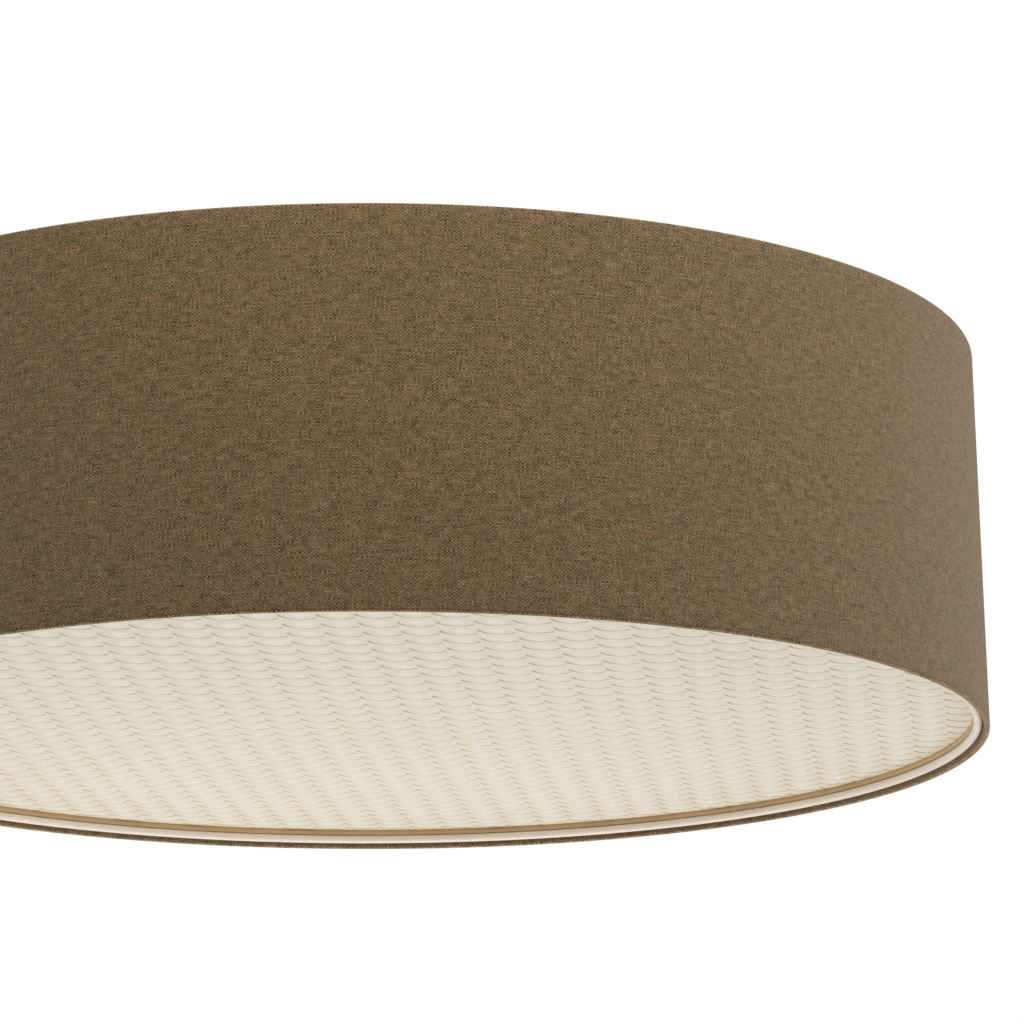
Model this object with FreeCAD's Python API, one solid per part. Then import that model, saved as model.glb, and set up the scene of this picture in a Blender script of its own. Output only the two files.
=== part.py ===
"""Flush mount ceiling light with a tapered fabric drum shade and a dimpled diffuser.

The origin is the middle of the ceiling bracket's upper face, on the ceiling. +Z points up, so the
light hangs below the origin. -Y is the front. All sizes are millimetres.
"""
import FreeCAD
import Part
import math
import os

Vector = FreeCAD.Vector

# ---- clearances ----
SEAT_GAP = 0.3          # between loose pieces that rest on each other
THREAD_GAP = 0.05       # a screw or pin in its hole
PASS_GAP = 0.3          # a screw through a plain hole
CUT_PAST = 1.0          # a cut runs this far past the faces it opens
EDGE_R = 0.8            # small rounding on turned and moulded pieces

# ---- shade: fabric over a white plastic lining, both edges turned in ----
SHADE_BOTTOM_R = 250.0
SHADE_TOP_R = 246.5
SHADE_HEIGHT = 155.0
CEILING_GAP = 4.0       # shade's top edge below the ceiling
FABRIC_T = 0.9
LINING_T = 0.7
TURN_IN = 10.0          # fabric folded up inside each edge
SEAM_WIDTH = 12.0       # lap where the fabric's ends meet
SEAM_AZIMUTH = 150.0
ROLL_FLAT = 0.04        # left flat between the two roundings of a turned edge

# ---- coated wire rings inside the shade's edges ----
RING_WIRE_D = 3.5
RING_INSET = 2.0        # edge of the shade to the wire
ARM_D = 4.0
ARM_COUNT = 3
ARM_AZIMUTH = 30.0
ARM_OVERHANG = 1.5      # arm's end past the middle of the ring's wire

# ---- diffuser, laid in from above on a felt strip along the bottom ring ----
DIFFUSER_T = 2.5
DIFFUSER_BOW = 5.0      # the middle hangs lower than the edge
DIFFUSER_EDGE_GAP = 0.8 # to the turned-in fabric
DIFFUSER_RIM = 0.3      # bulge of its rounded edge
STRIP_W = 3.0
STRIP_T = 1.4           # felt between the wire and the diffuser

# ---- ceiling pan ----
PAN_R = 165.0
PAN_DEPTH = 28.0
PAN_T = 1.0
PAN_CORNER_R = 6.0
PAN_LIP = 5.0           # inward lip against the ceiling

# ---- gallery band and its three knurled screws ----
BAND_GAP = 2.3          # around the pan's wall
BAND_T = 1.4
BAND_HEIGHT = 18.0
BAND_TOP = 8.0          # below the ceiling
SCREW_AZIMUTH = 90.0
SCREW_COUNT = 3
SCREW_D = 5.0
BOSS_D = 11.0
BOSS_LENGTH = 5.0
HEAD_D = 15.0
HEAD_LENGTH = 8.0
HEAD_GAP = 2.0          # boss to head when tight
NECK_D = 8.0
KNURL_COUNT = 24
KNURL_DEPTH = 0.5

# ---- ceiling bracket ----
BAR_LENGTH = 130.0
BAR_WIDTH = 24.0
BAR_T = 2.0
BAR_FLAT = 82.0         # length of the part that lies on the ceiling
BAR_JOG = 5.0           # the two ends hang this much lower
BEND_R = 1.0            # bends of the sheet steel straps
SLOT_SPACING = 60.0
SLOT_LENGTH = 14.0
SLOT_WIDTH = 5.2
INLET_D = 13.0
STUD_SPACING = 108.0
STUD_D = 5.0
STUD_HEAD_D = 9.0
STUD_HEAD_T = 3.2
STUD_HEAD_R = 1.2
WASHER_D = 13.0
WASHER_T = 1.0
NUT_FLATS = 8.0
NUT_T = 4.5
NUT_DOME_R = 3.8
STUD_PAST_NUT = 1.5

# ---- lamp brackets and lampholders ----
LAMP_COUNT = 3
LAMP_AZIMUTH = 30.0
LAMP_DROP = 44.0        # lamp axis below the pan
BRACKET_W = 24.0
BRACKET_T = 1.5
BRACKET_LEG_R = 22.0    # radius of the leg's inner face
BRACKET_FOOT = 28.0
BRACKET_BELOW = 15.0    # leg below the lamp axis
RIVET_D = 4.0
RIVET_HEAD_D = 7.0
RIVET_HEAD_T = 1.4
RIVET_HEAD_R = 1.0
RIVET_TAIL_D = 5.0      # end of the rivet inside the pan
RIVET_TAIL_T = 1.0
RIVET_TAIL_R = 0.6
RIVET_SPACING = 12.0
NIPPLE_D = 10.0
NIPPLE_BORE = 7.2
NIPPLE_INSIDE = 5.5     # nipple behind the leg
NIPPLE_IN_HOLDER = 6.0
NIPPLE_NUT_FLATS = 14.0
NIPPLE_NUT_T = 3.0
HOLDER_D = 40.0
HOLDER_LENGTH = 47.0
HOLDER_BACK_T = 8.0
HOLDER_STEP = 4.0       # the back is this much smaller in radius
HOLDER_BACK_R = 1.5
HOLDER_SHOULDER_R = 2.0
HOLDER_LIP_R = 2.5
HOLDER_MOUTH_R = 1.0
SHELL_T = 0.4
SHELL_LENGTH = 20.0
SHELL_FROM_MOUTH = 3.0
CONTACT_W = 5.0
CONTACT_T = 0.6
CONTACT_RISE = 8.0
CONTACT_BEND_R = 0.3

# ---- lamps ----
CAP_D = 26.4
CAP_ROOT_D = 24.6
CAP_LENGTH = 23.0
CAP_RIDGES = 6
CAP_RIDGE_R = 0.7
CAP_SKIRT = 2.0         # plain end of the cap beyond its ridges
CAP_CONE = 3.0
CAP_SHOWS = 1.0         # cap outside the lampholder
TIP_D = 9.0
TIP_LENGTH = 1.5
TIP_R = 0.6
BODY_LENGTH = 36.0
BODY_NECK_D = 28.0
BODY_NECK_LENGTH = 3.0
BODY_RIM = 2.0          # straight edge where the globe begins
BODY_R = 1.0
GLOBE_D = 60.0
GLOBE_T = 1.5
LAMP_LENGTH = 108.0

# ---- wiring ----
GROMMET_NECK = 2.5      # rubber between its bore and the pan
GROMMET_FLANGE = 3.0
GROMMET_T = 2.0
LEAD_D = 4.2
LEAD_PITCH = 4.6        # between the leads in the grommet
LEAD_SPREAD = 3.6       # leads from the middle, behind the lampholders
LEAD_HEIGHT = 9.0       # leads above the pan's floor
LEAD_STRAIGHT = 16.0    # lead in front of the terminal block
LEAD_SHORT = 1.0        # lead's end from the bottom of its way
LEAD_DROP = 17.0        # straight down below the grommet
LEAD_MARGIN = 0.8       # round the leads in the grommet
LEAD_TOP_BEND = 8.6
BLOCK_X = 48.0
BLOCK_Y = 20.0
BLOCK_Z = 16.0
BLOCK_CENTRE_Y = 55.0
WAY_PITCH = 11.0
WAY_COUNT = 4           # one for each lamp and one for the earth lead
WAY_BORE = 4.6
WAY_DEPTH = 7.0
WAY_SCREW_D = 4.0
WAY_SCREW_T = 3.0
WAY_SCREW_INSET = 5.0
WAY_SCREW_SUNK = 0.5    # the screw's top below the block's
WAY_SCREW_SLOT = 0.8    # width and depth of its slot
WAY_RIB = 1.2
BLOCK_SCREW_D = 3.0
BLOCK_SCREW_DEPTH = 5.4
BLOCK_SCREW_HEAD_D = 6.0
BLOCK_SCREW_HEAD_T = 2.0
EARTH_X = 46.0
EARTH_Y = 55.0
EARTH_SCREW_D = 4.0
EARTH_HEAD_D = 8.0
EARTH_HEAD_T = 2.6
EARTH_TAG_R = 4.5
EARTH_TAG_T = 0.8
EARTH_TAIL = 9.0
EARTH_BARREL_T = 0.5
EARTH_NUT_FLATS = 7.0
EARTH_NUT_T = 3.2
EARTH_PAST_NUT = 1.0
EARTH_LEAD_D = 2.2
EARTH_LEAD_STRAIGHT = 11.0  # in front of the terminal block
EARTH_LEAD_REACH = 21.0     # the loop's middle from the terminal block
EARTH_LEAD_RUN = 12.0       # in front of the tag

# ---- heights and radii that follow from the sizes above ----
shade_top_z = -CEILING_GAP
shade_bottom_z = shade_top_z - SHADE_HEIGHT
hem_t = 2 * FABRIC_T + LINING_T
wire_r = RING_WIRE_D / 2
top_ring_z = shade_top_z - RING_INSET - wire_r
bottom_ring_z = shade_bottom_z + RING_INSET + wire_r
strip_top_z = bottom_ring_z + wire_r + SEAT_GAP + STRIP_T
pan_floor_z = -PAN_DEPTH            # underside of the pan
pan_inside_z = pan_floor_z + PAN_T
band_in_r = PAN_R + BAND_GAP
band_out_r = band_in_r + BAND_T
band_top_z = -BAND_TOP
screw_z = band_top_z - BAND_HEIGHT / 2
lamp_z = pan_floor_z - LAMP_DROP
bracket_out_r = BRACKET_LEG_R + BRACKET_T
holder_mouth = bracket_out_r + HOLDER_LENGTH
cap_top = holder_mouth + CAP_SHOWS
cap_base = cap_top - CAP_LENGTH
lamp_tip = cap_base - CAP_CONE - TIP_LENGTH
body_end = cap_top + BODY_LENGTH
globe_centre = lamp_tip + LAMP_LENGTH - GLOBE_D / 2
lead_z = pan_inside_z + LEAD_HEIGHT
grommet_bore_r = LEAD_PITCH + LEAD_D / 2 + LEAD_MARGIN
block_top_z = pan_inside_z + BLOCK_Z
block_front_y = BLOCK_CENTRE_Y - BLOCK_Y / 2


def wall_r(z):
    """Radius of the shade's outer face at a height."""
    share = (z - shade_bottom_z) / SHADE_HEIGHT
    return SHADE_BOTTOM_R + (SHADE_TOP_R - SHADE_BOTTOM_R) * share


def outline(corners):
    """Closed wire in the XZ plane. A corner's third value, where it has one, rounds it."""
    arrive = []
    leave = []
    middle = []
    count = len(corners)
    for i, corner in enumerate(corners):
        here = Vector(corner[0], 0, corner[1])
        radius = corner[2] if len(corner) > 2 else 0
        if radius == 0:
            arrive.append(here)
            leave.append(here)
            middle.append(None)
            continue
        last = corners[i - 1]
        following = corners[(i + 1) % count]
        back = (Vector(last[0], 0, last[1]) - here).normalize()
        ahead = (Vector(following[0], 0, following[1]) - here).normalize()
        half = back.getAngle(ahead) / 2
        reach = radius / math.tan(half)
        centre = here + (back + ahead).normalize() * (radius / math.sin(half))
        arrive.append(here + back * reach)
        leave.append(here + ahead * reach)
        middle.append(centre + (here - centre).normalize() * radius)
    edges = []
    for i in range(count):
        if middle[i] is not None:
            edges.append(Part.Arc(arrive[i], middle[i], leave[i]).toShape())
        following = arrive[(i + 1) % count]
        if leave[i].distanceToPoint(following) > 1e-6:
            edges.append(Part.LineSegment(leave[i], following).toShape())
    return Part.Wire(edges)


def lathe(corners, angle=360.0):
    """Turn an outline of (radius, height) corners about the Z axis."""
    face = Part.Face(outline(corners))
    return face.revolve(Vector(0, 0, 0), Vector(0, 0, 1), angle)


def lathe_x(corners):
    """Turn an outline of (radius, distance) corners about the X axis."""
    shape = lathe(corners)
    shape.rotate(Vector(0, 0, 0), Vector(0, 1, 0), 90)
    return shape


def turned(shape, azimuth, z=0.0):
    """A copy turned about the Z axis, then lifted."""
    copy = shape.copy()
    copy.rotate(Vector(0, 0, 0), Vector(0, 0, 1), azimuth)
    copy.translate(Vector(0, 0, z))
    return copy


def spread(shape, count, first, z=0.0):
    """Copies of a shape, evenly round the Z axis."""
    return [turned(shape, first + 360.0 * i / count, z) for i in range(count)]


def rod(radius, low, high, x=0.0, y=0.0):
    """Upright cylinder between two heights."""
    return Part.makeCylinder(radius, high - low, Vector(x, y, low), Vector(0, 0, 1))


def rod_x(radius, near, far):
    """Cylinder along the X axis."""
    return Part.makeCylinder(radius, far - near, Vector(near, 0, 0), Vector(1, 0, 0))


def prism(flats, sides, low, high):
    """Upright prism with its flats this far apart."""
    radius = flats / 2 / math.cos(math.pi / sides)
    step = 2 * math.pi / sides
    points = [Vector(radius * math.cos(step * i), radius * math.sin(step * i), low) for i in range(sides)]
    face = Part.Face(Part.makePolygon(points + points[:1]))
    return face.extrude(Vector(0, 0, high - low))


def block(size_x, size_y, low, high, x=0.0, y=0.0):
    """Box centred on a point, between two heights."""
    corner = Vector(x - size_x / 2, y - size_y / 2, low)
    return Part.makeBox(size_x, size_y, high - low, corner)


def easy_bend(last, here, following):
    """Largest comfortable bend radius between two runs of a lead."""
    share = 0.45        # of the shorter run, so that two bends never meet
    back = last - here
    ahead = following - here
    half_turn = (math.pi - back.getAngle(ahead)) / 2
    return share * min(back.Length, ahead.Length) / math.tan(half_turn)


def bent_tube(points, bends, diameter, name):
    """Round tube along straight runs joined by tangent arcs, one radius for each inner point."""
    edges = []
    start = points[0]
    for i in range(1, len(points) - 1):
        here = points[i]
        back = (points[i - 1] - here).normalize()
        ahead = (points[i + 1] - here).normalize()
        half = back.getAngle(ahead) / 2
        radius = bends[i - 1]
        reach = radius / math.tan(half)
        centre = here + (back + ahead).normalize() * (radius / math.sin(half))
        first = here + back * reach
        last = here + ahead * reach
        middle = centre + (here - centre).normalize() * radius
        edges.append(Part.LineSegment(start, first).toShape())
        edges.append(Part.Arc(first, middle, last).toShape())
        start = last
    edges.append(Part.LineSegment(start, points[-1]).toShape())
    length = sum(edge.Length for edge in edges)
    path = Part.Wire(edges)
    direction = points[1] - points[0]
    section = Part.Wire([Part.makeCircle(diameter / 2, points[0], direction)])
    tube = path.makePipeShell([section], True, False)
    ideal = math.pi * diameter ** 2 / 4 * length
    print(name, "length", round(length, 1), "bends", [round(b, 1) for b in bends],
          "volume ratio", round(tube.Volume / ideal, 4))
    return tube


# ---- the shade ----

def fabric_skin():
    """Fabric on the outside, turned over both edges of the lining, with its lap seam."""
    roll = (hem_t - ROLL_FLAT) / 2
    low = shade_bottom_z
    high = shade_top_z
    low_turn = low + TURN_IN
    high_turn = high - TURN_IN
    skin = lathe([
        (wall_r(low), low, roll),
        (wall_r(high), high, roll),
        (wall_r(high) - hem_t, high, roll),
        (wall_r(high_turn) - hem_t, high_turn),
        (wall_r(high_turn) - hem_t + FABRIC_T, high_turn),
        (wall_r(high - FABRIC_T) - FABRIC_T - LINING_T, high - FABRIC_T),
        (wall_r(high - FABRIC_T) - FABRIC_T, high - FABRIC_T),
        (wall_r(low + FABRIC_T) - FABRIC_T, low + FABRIC_T),
        (wall_r(low + FABRIC_T) - FABRIC_T - LINING_T, low + FABRIC_T),
        (wall_r(low_turn) - hem_t + FABRIC_T, low_turn),
        (wall_r(low_turn) - hem_t, low_turn),
        (wall_r(low) - hem_t, low, roll),
    ])
    angle = math.degrees(SEAM_WIDTH / SHADE_BOTTOM_R)
    inner = FABRIC_T / 2
    lap = lathe([
        (wall_r(low + hem_t) - inner, low + hem_t),
        (wall_r(low + hem_t) + FABRIC_T, low + hem_t),
        (wall_r(high - hem_t) + FABRIC_T, high - hem_t),
        (wall_r(high - hem_t) - inner, high - hem_t),
    ], angle)
    return skin.fuse(turned(lap, SEAM_AZIMUTH))


def shade_lining():
    """White plastic lining that the fabric is glued to."""
    low = shade_bottom_z + FABRIC_T
    high = shade_top_z - FABRIC_T
    return lathe([
        (wall_r(low) - FABRIC_T - LINING_T, low),
        (wall_r(low) - FABRIC_T, low),
        (wall_r(high) - FABRIC_T, high),
        (wall_r(high) - FABRIC_T - LINING_T, high),
    ])


def ring_centre_r(z):
    """Radius of a wire ring that lies just inside the turned-in fabric."""
    return wall_r(z) - hem_t - SEAT_GAP - wire_r


def wire_ring(z):
    """Ring of round wire."""
    return Part.makeTorus(ring_centre_r(z), wire_r, Vector(0, 0, z), Vector(0, 0, 1))


def gallery_band():
    """Upright band round the pan, drilled for the knurled screws."""
    low = band_top_z - BAND_HEIGHT
    band = lathe([(band_in_r, low), (band_out_r, low), (band_out_r, band_top_z), (band_in_r, band_top_z)])
    hole = rod_x(SCREW_D / 2, PAN_R, band_out_r + CUT_PAST)
    return band.cut(spread(hole, SCREW_COUNT, SCREW_AZIMUTH, screw_z))


def carrier_arms():
    """Straight wires from the band to the underside of the top ring."""
    arm_z = top_ring_z - wire_r - ARM_D / 2
    end = ring_centre_r(top_ring_z) + ARM_OVERHANG
    arm = rod_x(ARM_D / 2, band_in_r, end).cut(rod(band_out_r, -ARM_D, ARM_D))
    return Part.Compound(spread(arm, ARM_COUNT, ARM_AZIMUTH, arm_z))


def screw_bosses():
    """Round threaded bosses welded to the band."""
    end = band_out_r + BOSS_LENGTH
    boss = rod_x(BOSS_D / 2, band_in_r, end)
    boss = boss.cut([rod(band_out_r, -BOSS_D, BOSS_D), rod_x(SCREW_D / 2, PAN_R, end + CUT_PAST)])
    return Part.Compound(spread(boss, SCREW_COUNT, SCREW_AZIMUTH, screw_z))


def knurled_screw(azimuth):
    """Screw whose tip bears on the pan's wall, with a knurled head outside the band."""
    tip = PAN_R + SEAT_GAP
    head = band_out_r + BOSS_LENGTH + HEAD_GAP
    end = head + HEAD_LENGTH
    screw = lathe_x([
        (0, tip),
        (SCREW_D / 2 - THREAD_GAP, tip, EDGE_R),
        (SCREW_D / 2 - THREAD_GAP, head - HEAD_GAP / 2),
        (NECK_D / 2, head - HEAD_GAP / 2),
        (NECK_D / 2, head),
        (HEAD_D / 2, head, EDGE_R),
        (HEAD_D / 2, end, EDGE_R),
        (0, end),
    ])
    groove = prism(KNURL_DEPTH * math.sqrt(2), 4, head - CUT_PAST, end + CUT_PAST)
    groove.rotate(Vector(0, 0, 0), Vector(0, 1, 0), 90)
    groove.translate(Vector(0, 0, HEAD_D / 2))
    grooves = []
    for i in range(KNURL_COUNT):
        copy = groove.copy()
        copy.rotate(Vector(0, 0, 0), Vector(1, 0, 0), 360.0 * i / KNURL_COUNT)
        grooves.append(copy)
    return turned(screw.cut(grooves), azimuth, screw_z)


def seat_strip():
    """Felt strip along the top of the bottom ring, under the diffuser's edge."""
    near = ring_centre_r(bottom_ring_z) - STRIP_W / 2
    low = strip_top_z - STRIP_T
    return lathe([(near, low), (near + STRIP_W, low), (near + STRIP_W, strip_top_z), (near, strip_top_z)])


def diffuser():
    """Shallow round sheet whose middle bows down, with a rounded edge."""
    radius = wall_r(bottom_ring_z) - hem_t - DIFFUSER_EDGE_GAP
    edge_z = strip_top_z + SEAT_GAP
    ball = (radius ** 2 + DIFFUSER_BOW ** 2) / (2 * DIFFUSER_BOW)
    sink = ball - math.sqrt(ball ** 2 - radius ** 2 / 4)

    def face_arc(z):
        return Part.Arc(Vector(0, 0, z - DIFFUSER_BOW), Vector(radius / 2, 0, z - DIFFUSER_BOW + sink),
                        Vector(radius, 0, z)).toShape()
    low = face_arc(edge_z)
    high = face_arc(edge_z + DIFFUSER_T)
    rim = Part.Arc(Vector(radius, 0, edge_z), Vector(radius + DIFFUSER_RIM, 0, edge_z + DIFFUSER_T / 2),
                   Vector(radius, 0, edge_z + DIFFUSER_T)).toShape()
    axis = Part.LineSegment(Vector(0, 0, edge_z - DIFFUSER_BOW),
                            Vector(0, 0, edge_z + DIFFUSER_T - DIFFUSER_BOW)).toShape()
    wire = Part.Wire(Part.__sortEdges__([low, rim, high, axis]))
    return Part.Face(wire).revolve(Vector(0, 0, 0), Vector(0, 0, 1), 360)


# ---- on the ceiling ----

def ceiling_bracket():
    """Steel strap whose middle lies on the ceiling and whose ends hang lower for the studs' heads."""
    half = BAR_LENGTH / 2
    flat = BAR_FLAT / 2
    corners = [
        (-half, -BAR_JOG), (-flat - BAR_JOG, -BAR_JOG, BEND_R), (-flat, 0, BEND_R),
        (flat, 0, BEND_R), (flat + BAR_JOG, -BAR_JOG, BEND_R), (half, -BAR_JOG),
        (half, -BAR_JOG - BAR_T), (flat + BAR_JOG - BAR_T / 2, -BAR_JOG - BAR_T, BEND_R),
        (flat - BAR_T / 2, -BAR_T, BEND_R), (-flat + BAR_T / 2, -BAR_T, BEND_R),
        (-flat - BAR_JOG + BAR_T / 2, -BAR_JOG - BAR_T, BEND_R), (-half, -BAR_JOG - BAR_T),
    ]
    bar = Part.Face(outline(corners)).extrude(Vector(0, BAR_WIDTH, 0))
    bar.translate(Vector(0, -BAR_WIDTH / 2, 0))
    low = -BAR_JOG - BAR_T - CUT_PAST
    high = CUT_PAST
    cuts = [rod(INLET_D / 2, low, high)]
    for side in (-1, 1):
        cuts.append(rod(STUD_D / 2, low, high, side * STUD_SPACING / 2))
        straight = SLOT_LENGTH - SLOT_WIDTH
        middle = side * SLOT_SPACING / 2
        cuts.append(block(straight, SLOT_WIDTH, low, high, middle))
        cuts.append(rod(SLOT_WIDTH / 2, low, high, middle - straight / 2))
        cuts.append(rod(SLOT_WIDTH / 2, low, high, middle + straight / 2))
    return bar.cut(cuts)


def at_studs(shape):
    """A piece at both studs."""
    pieces = []
    for side in (-1, 1):
        copy = shape.copy()
        copy.translate(Vector(side * STUD_SPACING / 2, 0, 0))
        pieces.append(copy)
    return Part.Compound(pieces)


def mounting_studs():
    """Screws through the bracket's ends that the pan is held on."""
    bottom = pan_floor_z - WASHER_T - NUT_T - STUD_PAST_NUT
    stud = lathe([
        (0, bottom),
        (STUD_D / 2 - THREAD_GAP, bottom, EDGE_R),
        (STUD_D / 2 - THREAD_GAP, -BAR_JOG),
        (STUD_HEAD_D / 2, -BAR_JOG),
        (STUD_HEAD_D / 2, -BAR_JOG + STUD_HEAD_T, STUD_HEAD_R),
        (0, -BAR_JOG + STUD_HEAD_T),
    ])
    return at_studs(stud)


def pan_washers():
    """Washers under the pan."""
    high = pan_floor_z
    low = high - WASHER_T
    return at_studs(lathe([(STUD_D / 2 + PASS_GAP, low), (WASHER_D / 2, low),
                           (WASHER_D / 2, high), (STUD_D / 2 + PASS_GAP, high)]))


def cap_nuts():
    """Domed nuts that hold the pan up."""
    top = pan_floor_z - WASHER_T
    skirt = prism(NUT_FLATS, 6, top - NUT_T, top)
    dome = Part.makeSphere(NUT_DOME_R, Vector(0, 0, top - NUT_T))
    bore = rod(STUD_D / 2, top - NUT_T - STUD_PAST_NUT - SEAT_GAP, top + CUT_PAST)
    return at_studs(skirt.fuse(dome).cut(bore))


def foot_rivet_points():
    """Radii of the two rivets in each lamp bracket's foot."""
    middle = bracket_out_r + BRACKET_FOOT / 2
    return [middle - RIVET_SPACING / 2, middle + RIVET_SPACING / 2]


def ceiling_pan():
    """Drawn steel dish, open towards the ceiling, with its holes."""
    floor = pan_floor_z
    inside = pan_inside_z
    pan = lathe([
        (0, floor),
        (PAN_R, floor, PAN_CORNER_R),
        (PAN_R, 0, 2 * PAN_T),
        (PAN_R - PAN_LIP, 0),
        (PAN_R - PAN_LIP, -PAN_T),
        (PAN_R - PAN_T, -PAN_T, PAN_T),
        (PAN_R - PAN_T, inside, PAN_CORNER_R - PAN_T),
        (0, inside),
    ])
    low = floor - CUT_PAST
    high = inside + CUT_PAST
    cuts = [rod(grommet_bore_r + GROMMET_NECK, low, high)]
    for side in (-1, 1):
        cuts.append(rod(STUD_D / 2 + PASS_GAP, low, high, side * STUD_SPACING / 2))
    for radius in foot_rivet_points():
        cuts += spread(rod(RIVET_D / 2, low, high, radius), LAMP_COUNT, LAMP_AZIMUTH)
    cuts.append(rod(EARTH_SCREW_D / 2 + PASS_GAP, low, high, EARTH_X, EARTH_Y))
    cuts.append(rod(BLOCK_SCREW_D / 2 + PASS_GAP, low, high, 0, BLOCK_CENTRE_Y))
    return pan.cut(cuts)


# ---- lamps and lampholders, built along +X and then turned into place ----

def lamp_bracket(azimuth):
    """Bent steel strap: a foot under the pan and a leg that carries the lampholder."""
    low = lamp_z - BRACKET_BELOW
    top = pan_floor_z
    side = Part.Face(outline([
        (BRACKET_LEG_R, low),
        (bracket_out_r, low),
        (bracket_out_r, top - BRACKET_T, BEND_R),
        (bracket_out_r + BRACKET_FOOT, top - BRACKET_T),
        (bracket_out_r + BRACKET_FOOT, top),
        (BRACKET_LEG_R, top, BEND_R + BRACKET_T),
    ]))
    strap = side.extrude(Vector(0, BRACKET_W, 0))
    strap.translate(Vector(0, -BRACKET_W / 2, 0))
    nipple_hole = rod_x(NIPPLE_D / 2, 0, bracket_out_r + CUT_PAST)
    nipple_hole.translate(Vector(0, 0, lamp_z))
    cuts = [nipple_hole]
    for radius in foot_rivet_points():
        cuts.append(rod(RIVET_D / 2, top - BRACKET_T - CUT_PAST, top + CUT_PAST, radius))
    return turned(strap.cut(cuts), azimuth)


def bracket_rivets():
    """Rivets through the pan and the brackets' feet."""
    low = pan_floor_z - BRACKET_T
    high = pan_inside_z
    shank = RIVET_D / 2 - THREAD_GAP
    tail = RIVET_TAIL_D / 2
    rivet = lathe([
        (0, low - RIVET_HEAD_T),
        (RIVET_HEAD_D / 2, low - RIVET_HEAD_T, RIVET_HEAD_R),
        (RIVET_HEAD_D / 2, low), (shank, low), (shank, high), (tail, high),
        (tail, high + RIVET_TAIL_T, RIVET_TAIL_R), (0, high + RIVET_TAIL_T),
    ])
    rivets = []
    for radius in foot_rivet_points():
        copy = rivet.copy()
        copy.translate(Vector(radius, 0, 0))
        rivets += spread(copy, LAMP_COUNT, LAMP_AZIMUTH)
    return Part.Compound(rivets)


def holder_nipples():
    """Hollow threaded nipples through the brackets' legs, with the leads inside."""
    near = BRACKET_LEG_R - NIPPLE_INSIDE
    far = bracket_out_r + NIPPLE_IN_HOLDER
    outer = NIPPLE_D / 2 - THREAD_GAP
    nipple = lathe_x([(NIPPLE_BORE / 2, near), (outer, near), (outer, far), (NIPPLE_BORE / 2, far)])
    return Part.Compound(spread(nipple, LAMP_COUNT, LAMP_AZIMUTH, lamp_z))


def nipple_nuts():
    """Thin hexagon nuts behind the brackets' legs."""
    nut = prism(NIPPLE_NUT_FLATS, 6, BRACKET_LEG_R - NIPPLE_NUT_T, BRACKET_LEG_R)
    nut = nut.cut(rod(NIPPLE_D / 2, 0, BRACKET_LEG_R + CUT_PAST))
    nut.rotate(Vector(0, 0, 0), Vector(0, 1, 0), 90)
    return Part.Compound(spread(nut, LAMP_COUNT, LAMP_AZIMUTH, lamp_z))


def shell_out_r():
    """Outside of the lampholder's threaded shell."""
    return CAP_D / 2 + THREAD_GAP + SHELL_T


def lampholder(azimuth):
    """Glazed ceramic lampholder: a thick cup with a stepped back."""
    back = bracket_out_r
    outer = HOLDER_D / 2
    bore = shell_out_r() + THREAD_GAP
    floor = back + HOLDER_BACK_T
    holder = lathe_x([
        (NIPPLE_D / 2, back),
        (outer - HOLDER_STEP, back, HOLDER_BACK_R),
        (outer - HOLDER_STEP, floor, HOLDER_BACK_R),
        (outer, floor + HOLDER_STEP, HOLDER_SHOULDER_R),
        (outer, holder_mouth, HOLDER_LIP_R),
        (bore, holder_mouth, HOLDER_MOUTH_R),
        (bore, floor),
        (NIPPLE_D / 2, floor),
    ])
    return turned(holder, azimuth, lamp_z)


def holder_shell(azimuth):
    """Metal sleeve inside the lampholder that the lamp's cap turns in."""
    far = holder_mouth - SHELL_FROM_MOUTH
    near = far - SHELL_LENGTH
    inner = CAP_D / 2 + THREAD_GAP
    shell = lathe_x([(inner, near), (shell_out_r(), near), (shell_out_r(), far), (inner, far)])
    return turned(shell, azimuth, lamp_z)


def centre_contacts():
    """Sprung strips on the lampholders' floors, behind the lamps' tips."""
    floor = bracket_out_r + HOLDER_BACK_T
    height = NIPPLE_D / 2 + CONTACT_T
    tip = lamp_tip - SEAT_GAP
    side = Part.Face(outline([
        (floor, height), (floor, height + CONTACT_RISE / 2), (floor + CONTACT_T, height + CONTACT_RISE / 2),
        (floor + CONTACT_T, height + CONTACT_T, CONTACT_BEND_R), (tip, CONTACT_T), (tip, -TIP_D / 2),
        (tip - CONTACT_T, -TIP_D / 2), (tip - CONTACT_T, 0), (floor + CONTACT_T, height - CONTACT_T),
    ]))
    strip = side.extrude(Vector(0, CONTACT_W, 0))
    strip.translate(Vector(0, -CONTACT_W / 2, 0))
    return Part.Compound(spread(strip, LAMP_COUNT, LAMP_AZIMUTH, lamp_z))


def lamp_cap(azimuth):
    """Screw cap with rolled ridges, its cone and its tip."""
    crest = CAP_D / 2
    root = CAP_ROOT_D / 2
    pitch = (CAP_LENGTH - CAP_SKIRT) / CAP_RIDGES
    corners = [
        (0, lamp_tip), (TIP_D / 2, lamp_tip, TIP_R), (TIP_D / 2, lamp_tip + TIP_LENGTH),
        (root, cap_base),
    ]
    for i in range(CAP_RIDGES):
        corners.append((crest, cap_base + pitch * (i + 0.5), CAP_RIDGE_R))
        corners.append((root, cap_base + pitch * (i + 1), CAP_RIDGE_R))
    corners += [(root, cap_top), (0, cap_top)]
    return turned(lathe_x(corners), azimuth, lamp_z)


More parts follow.
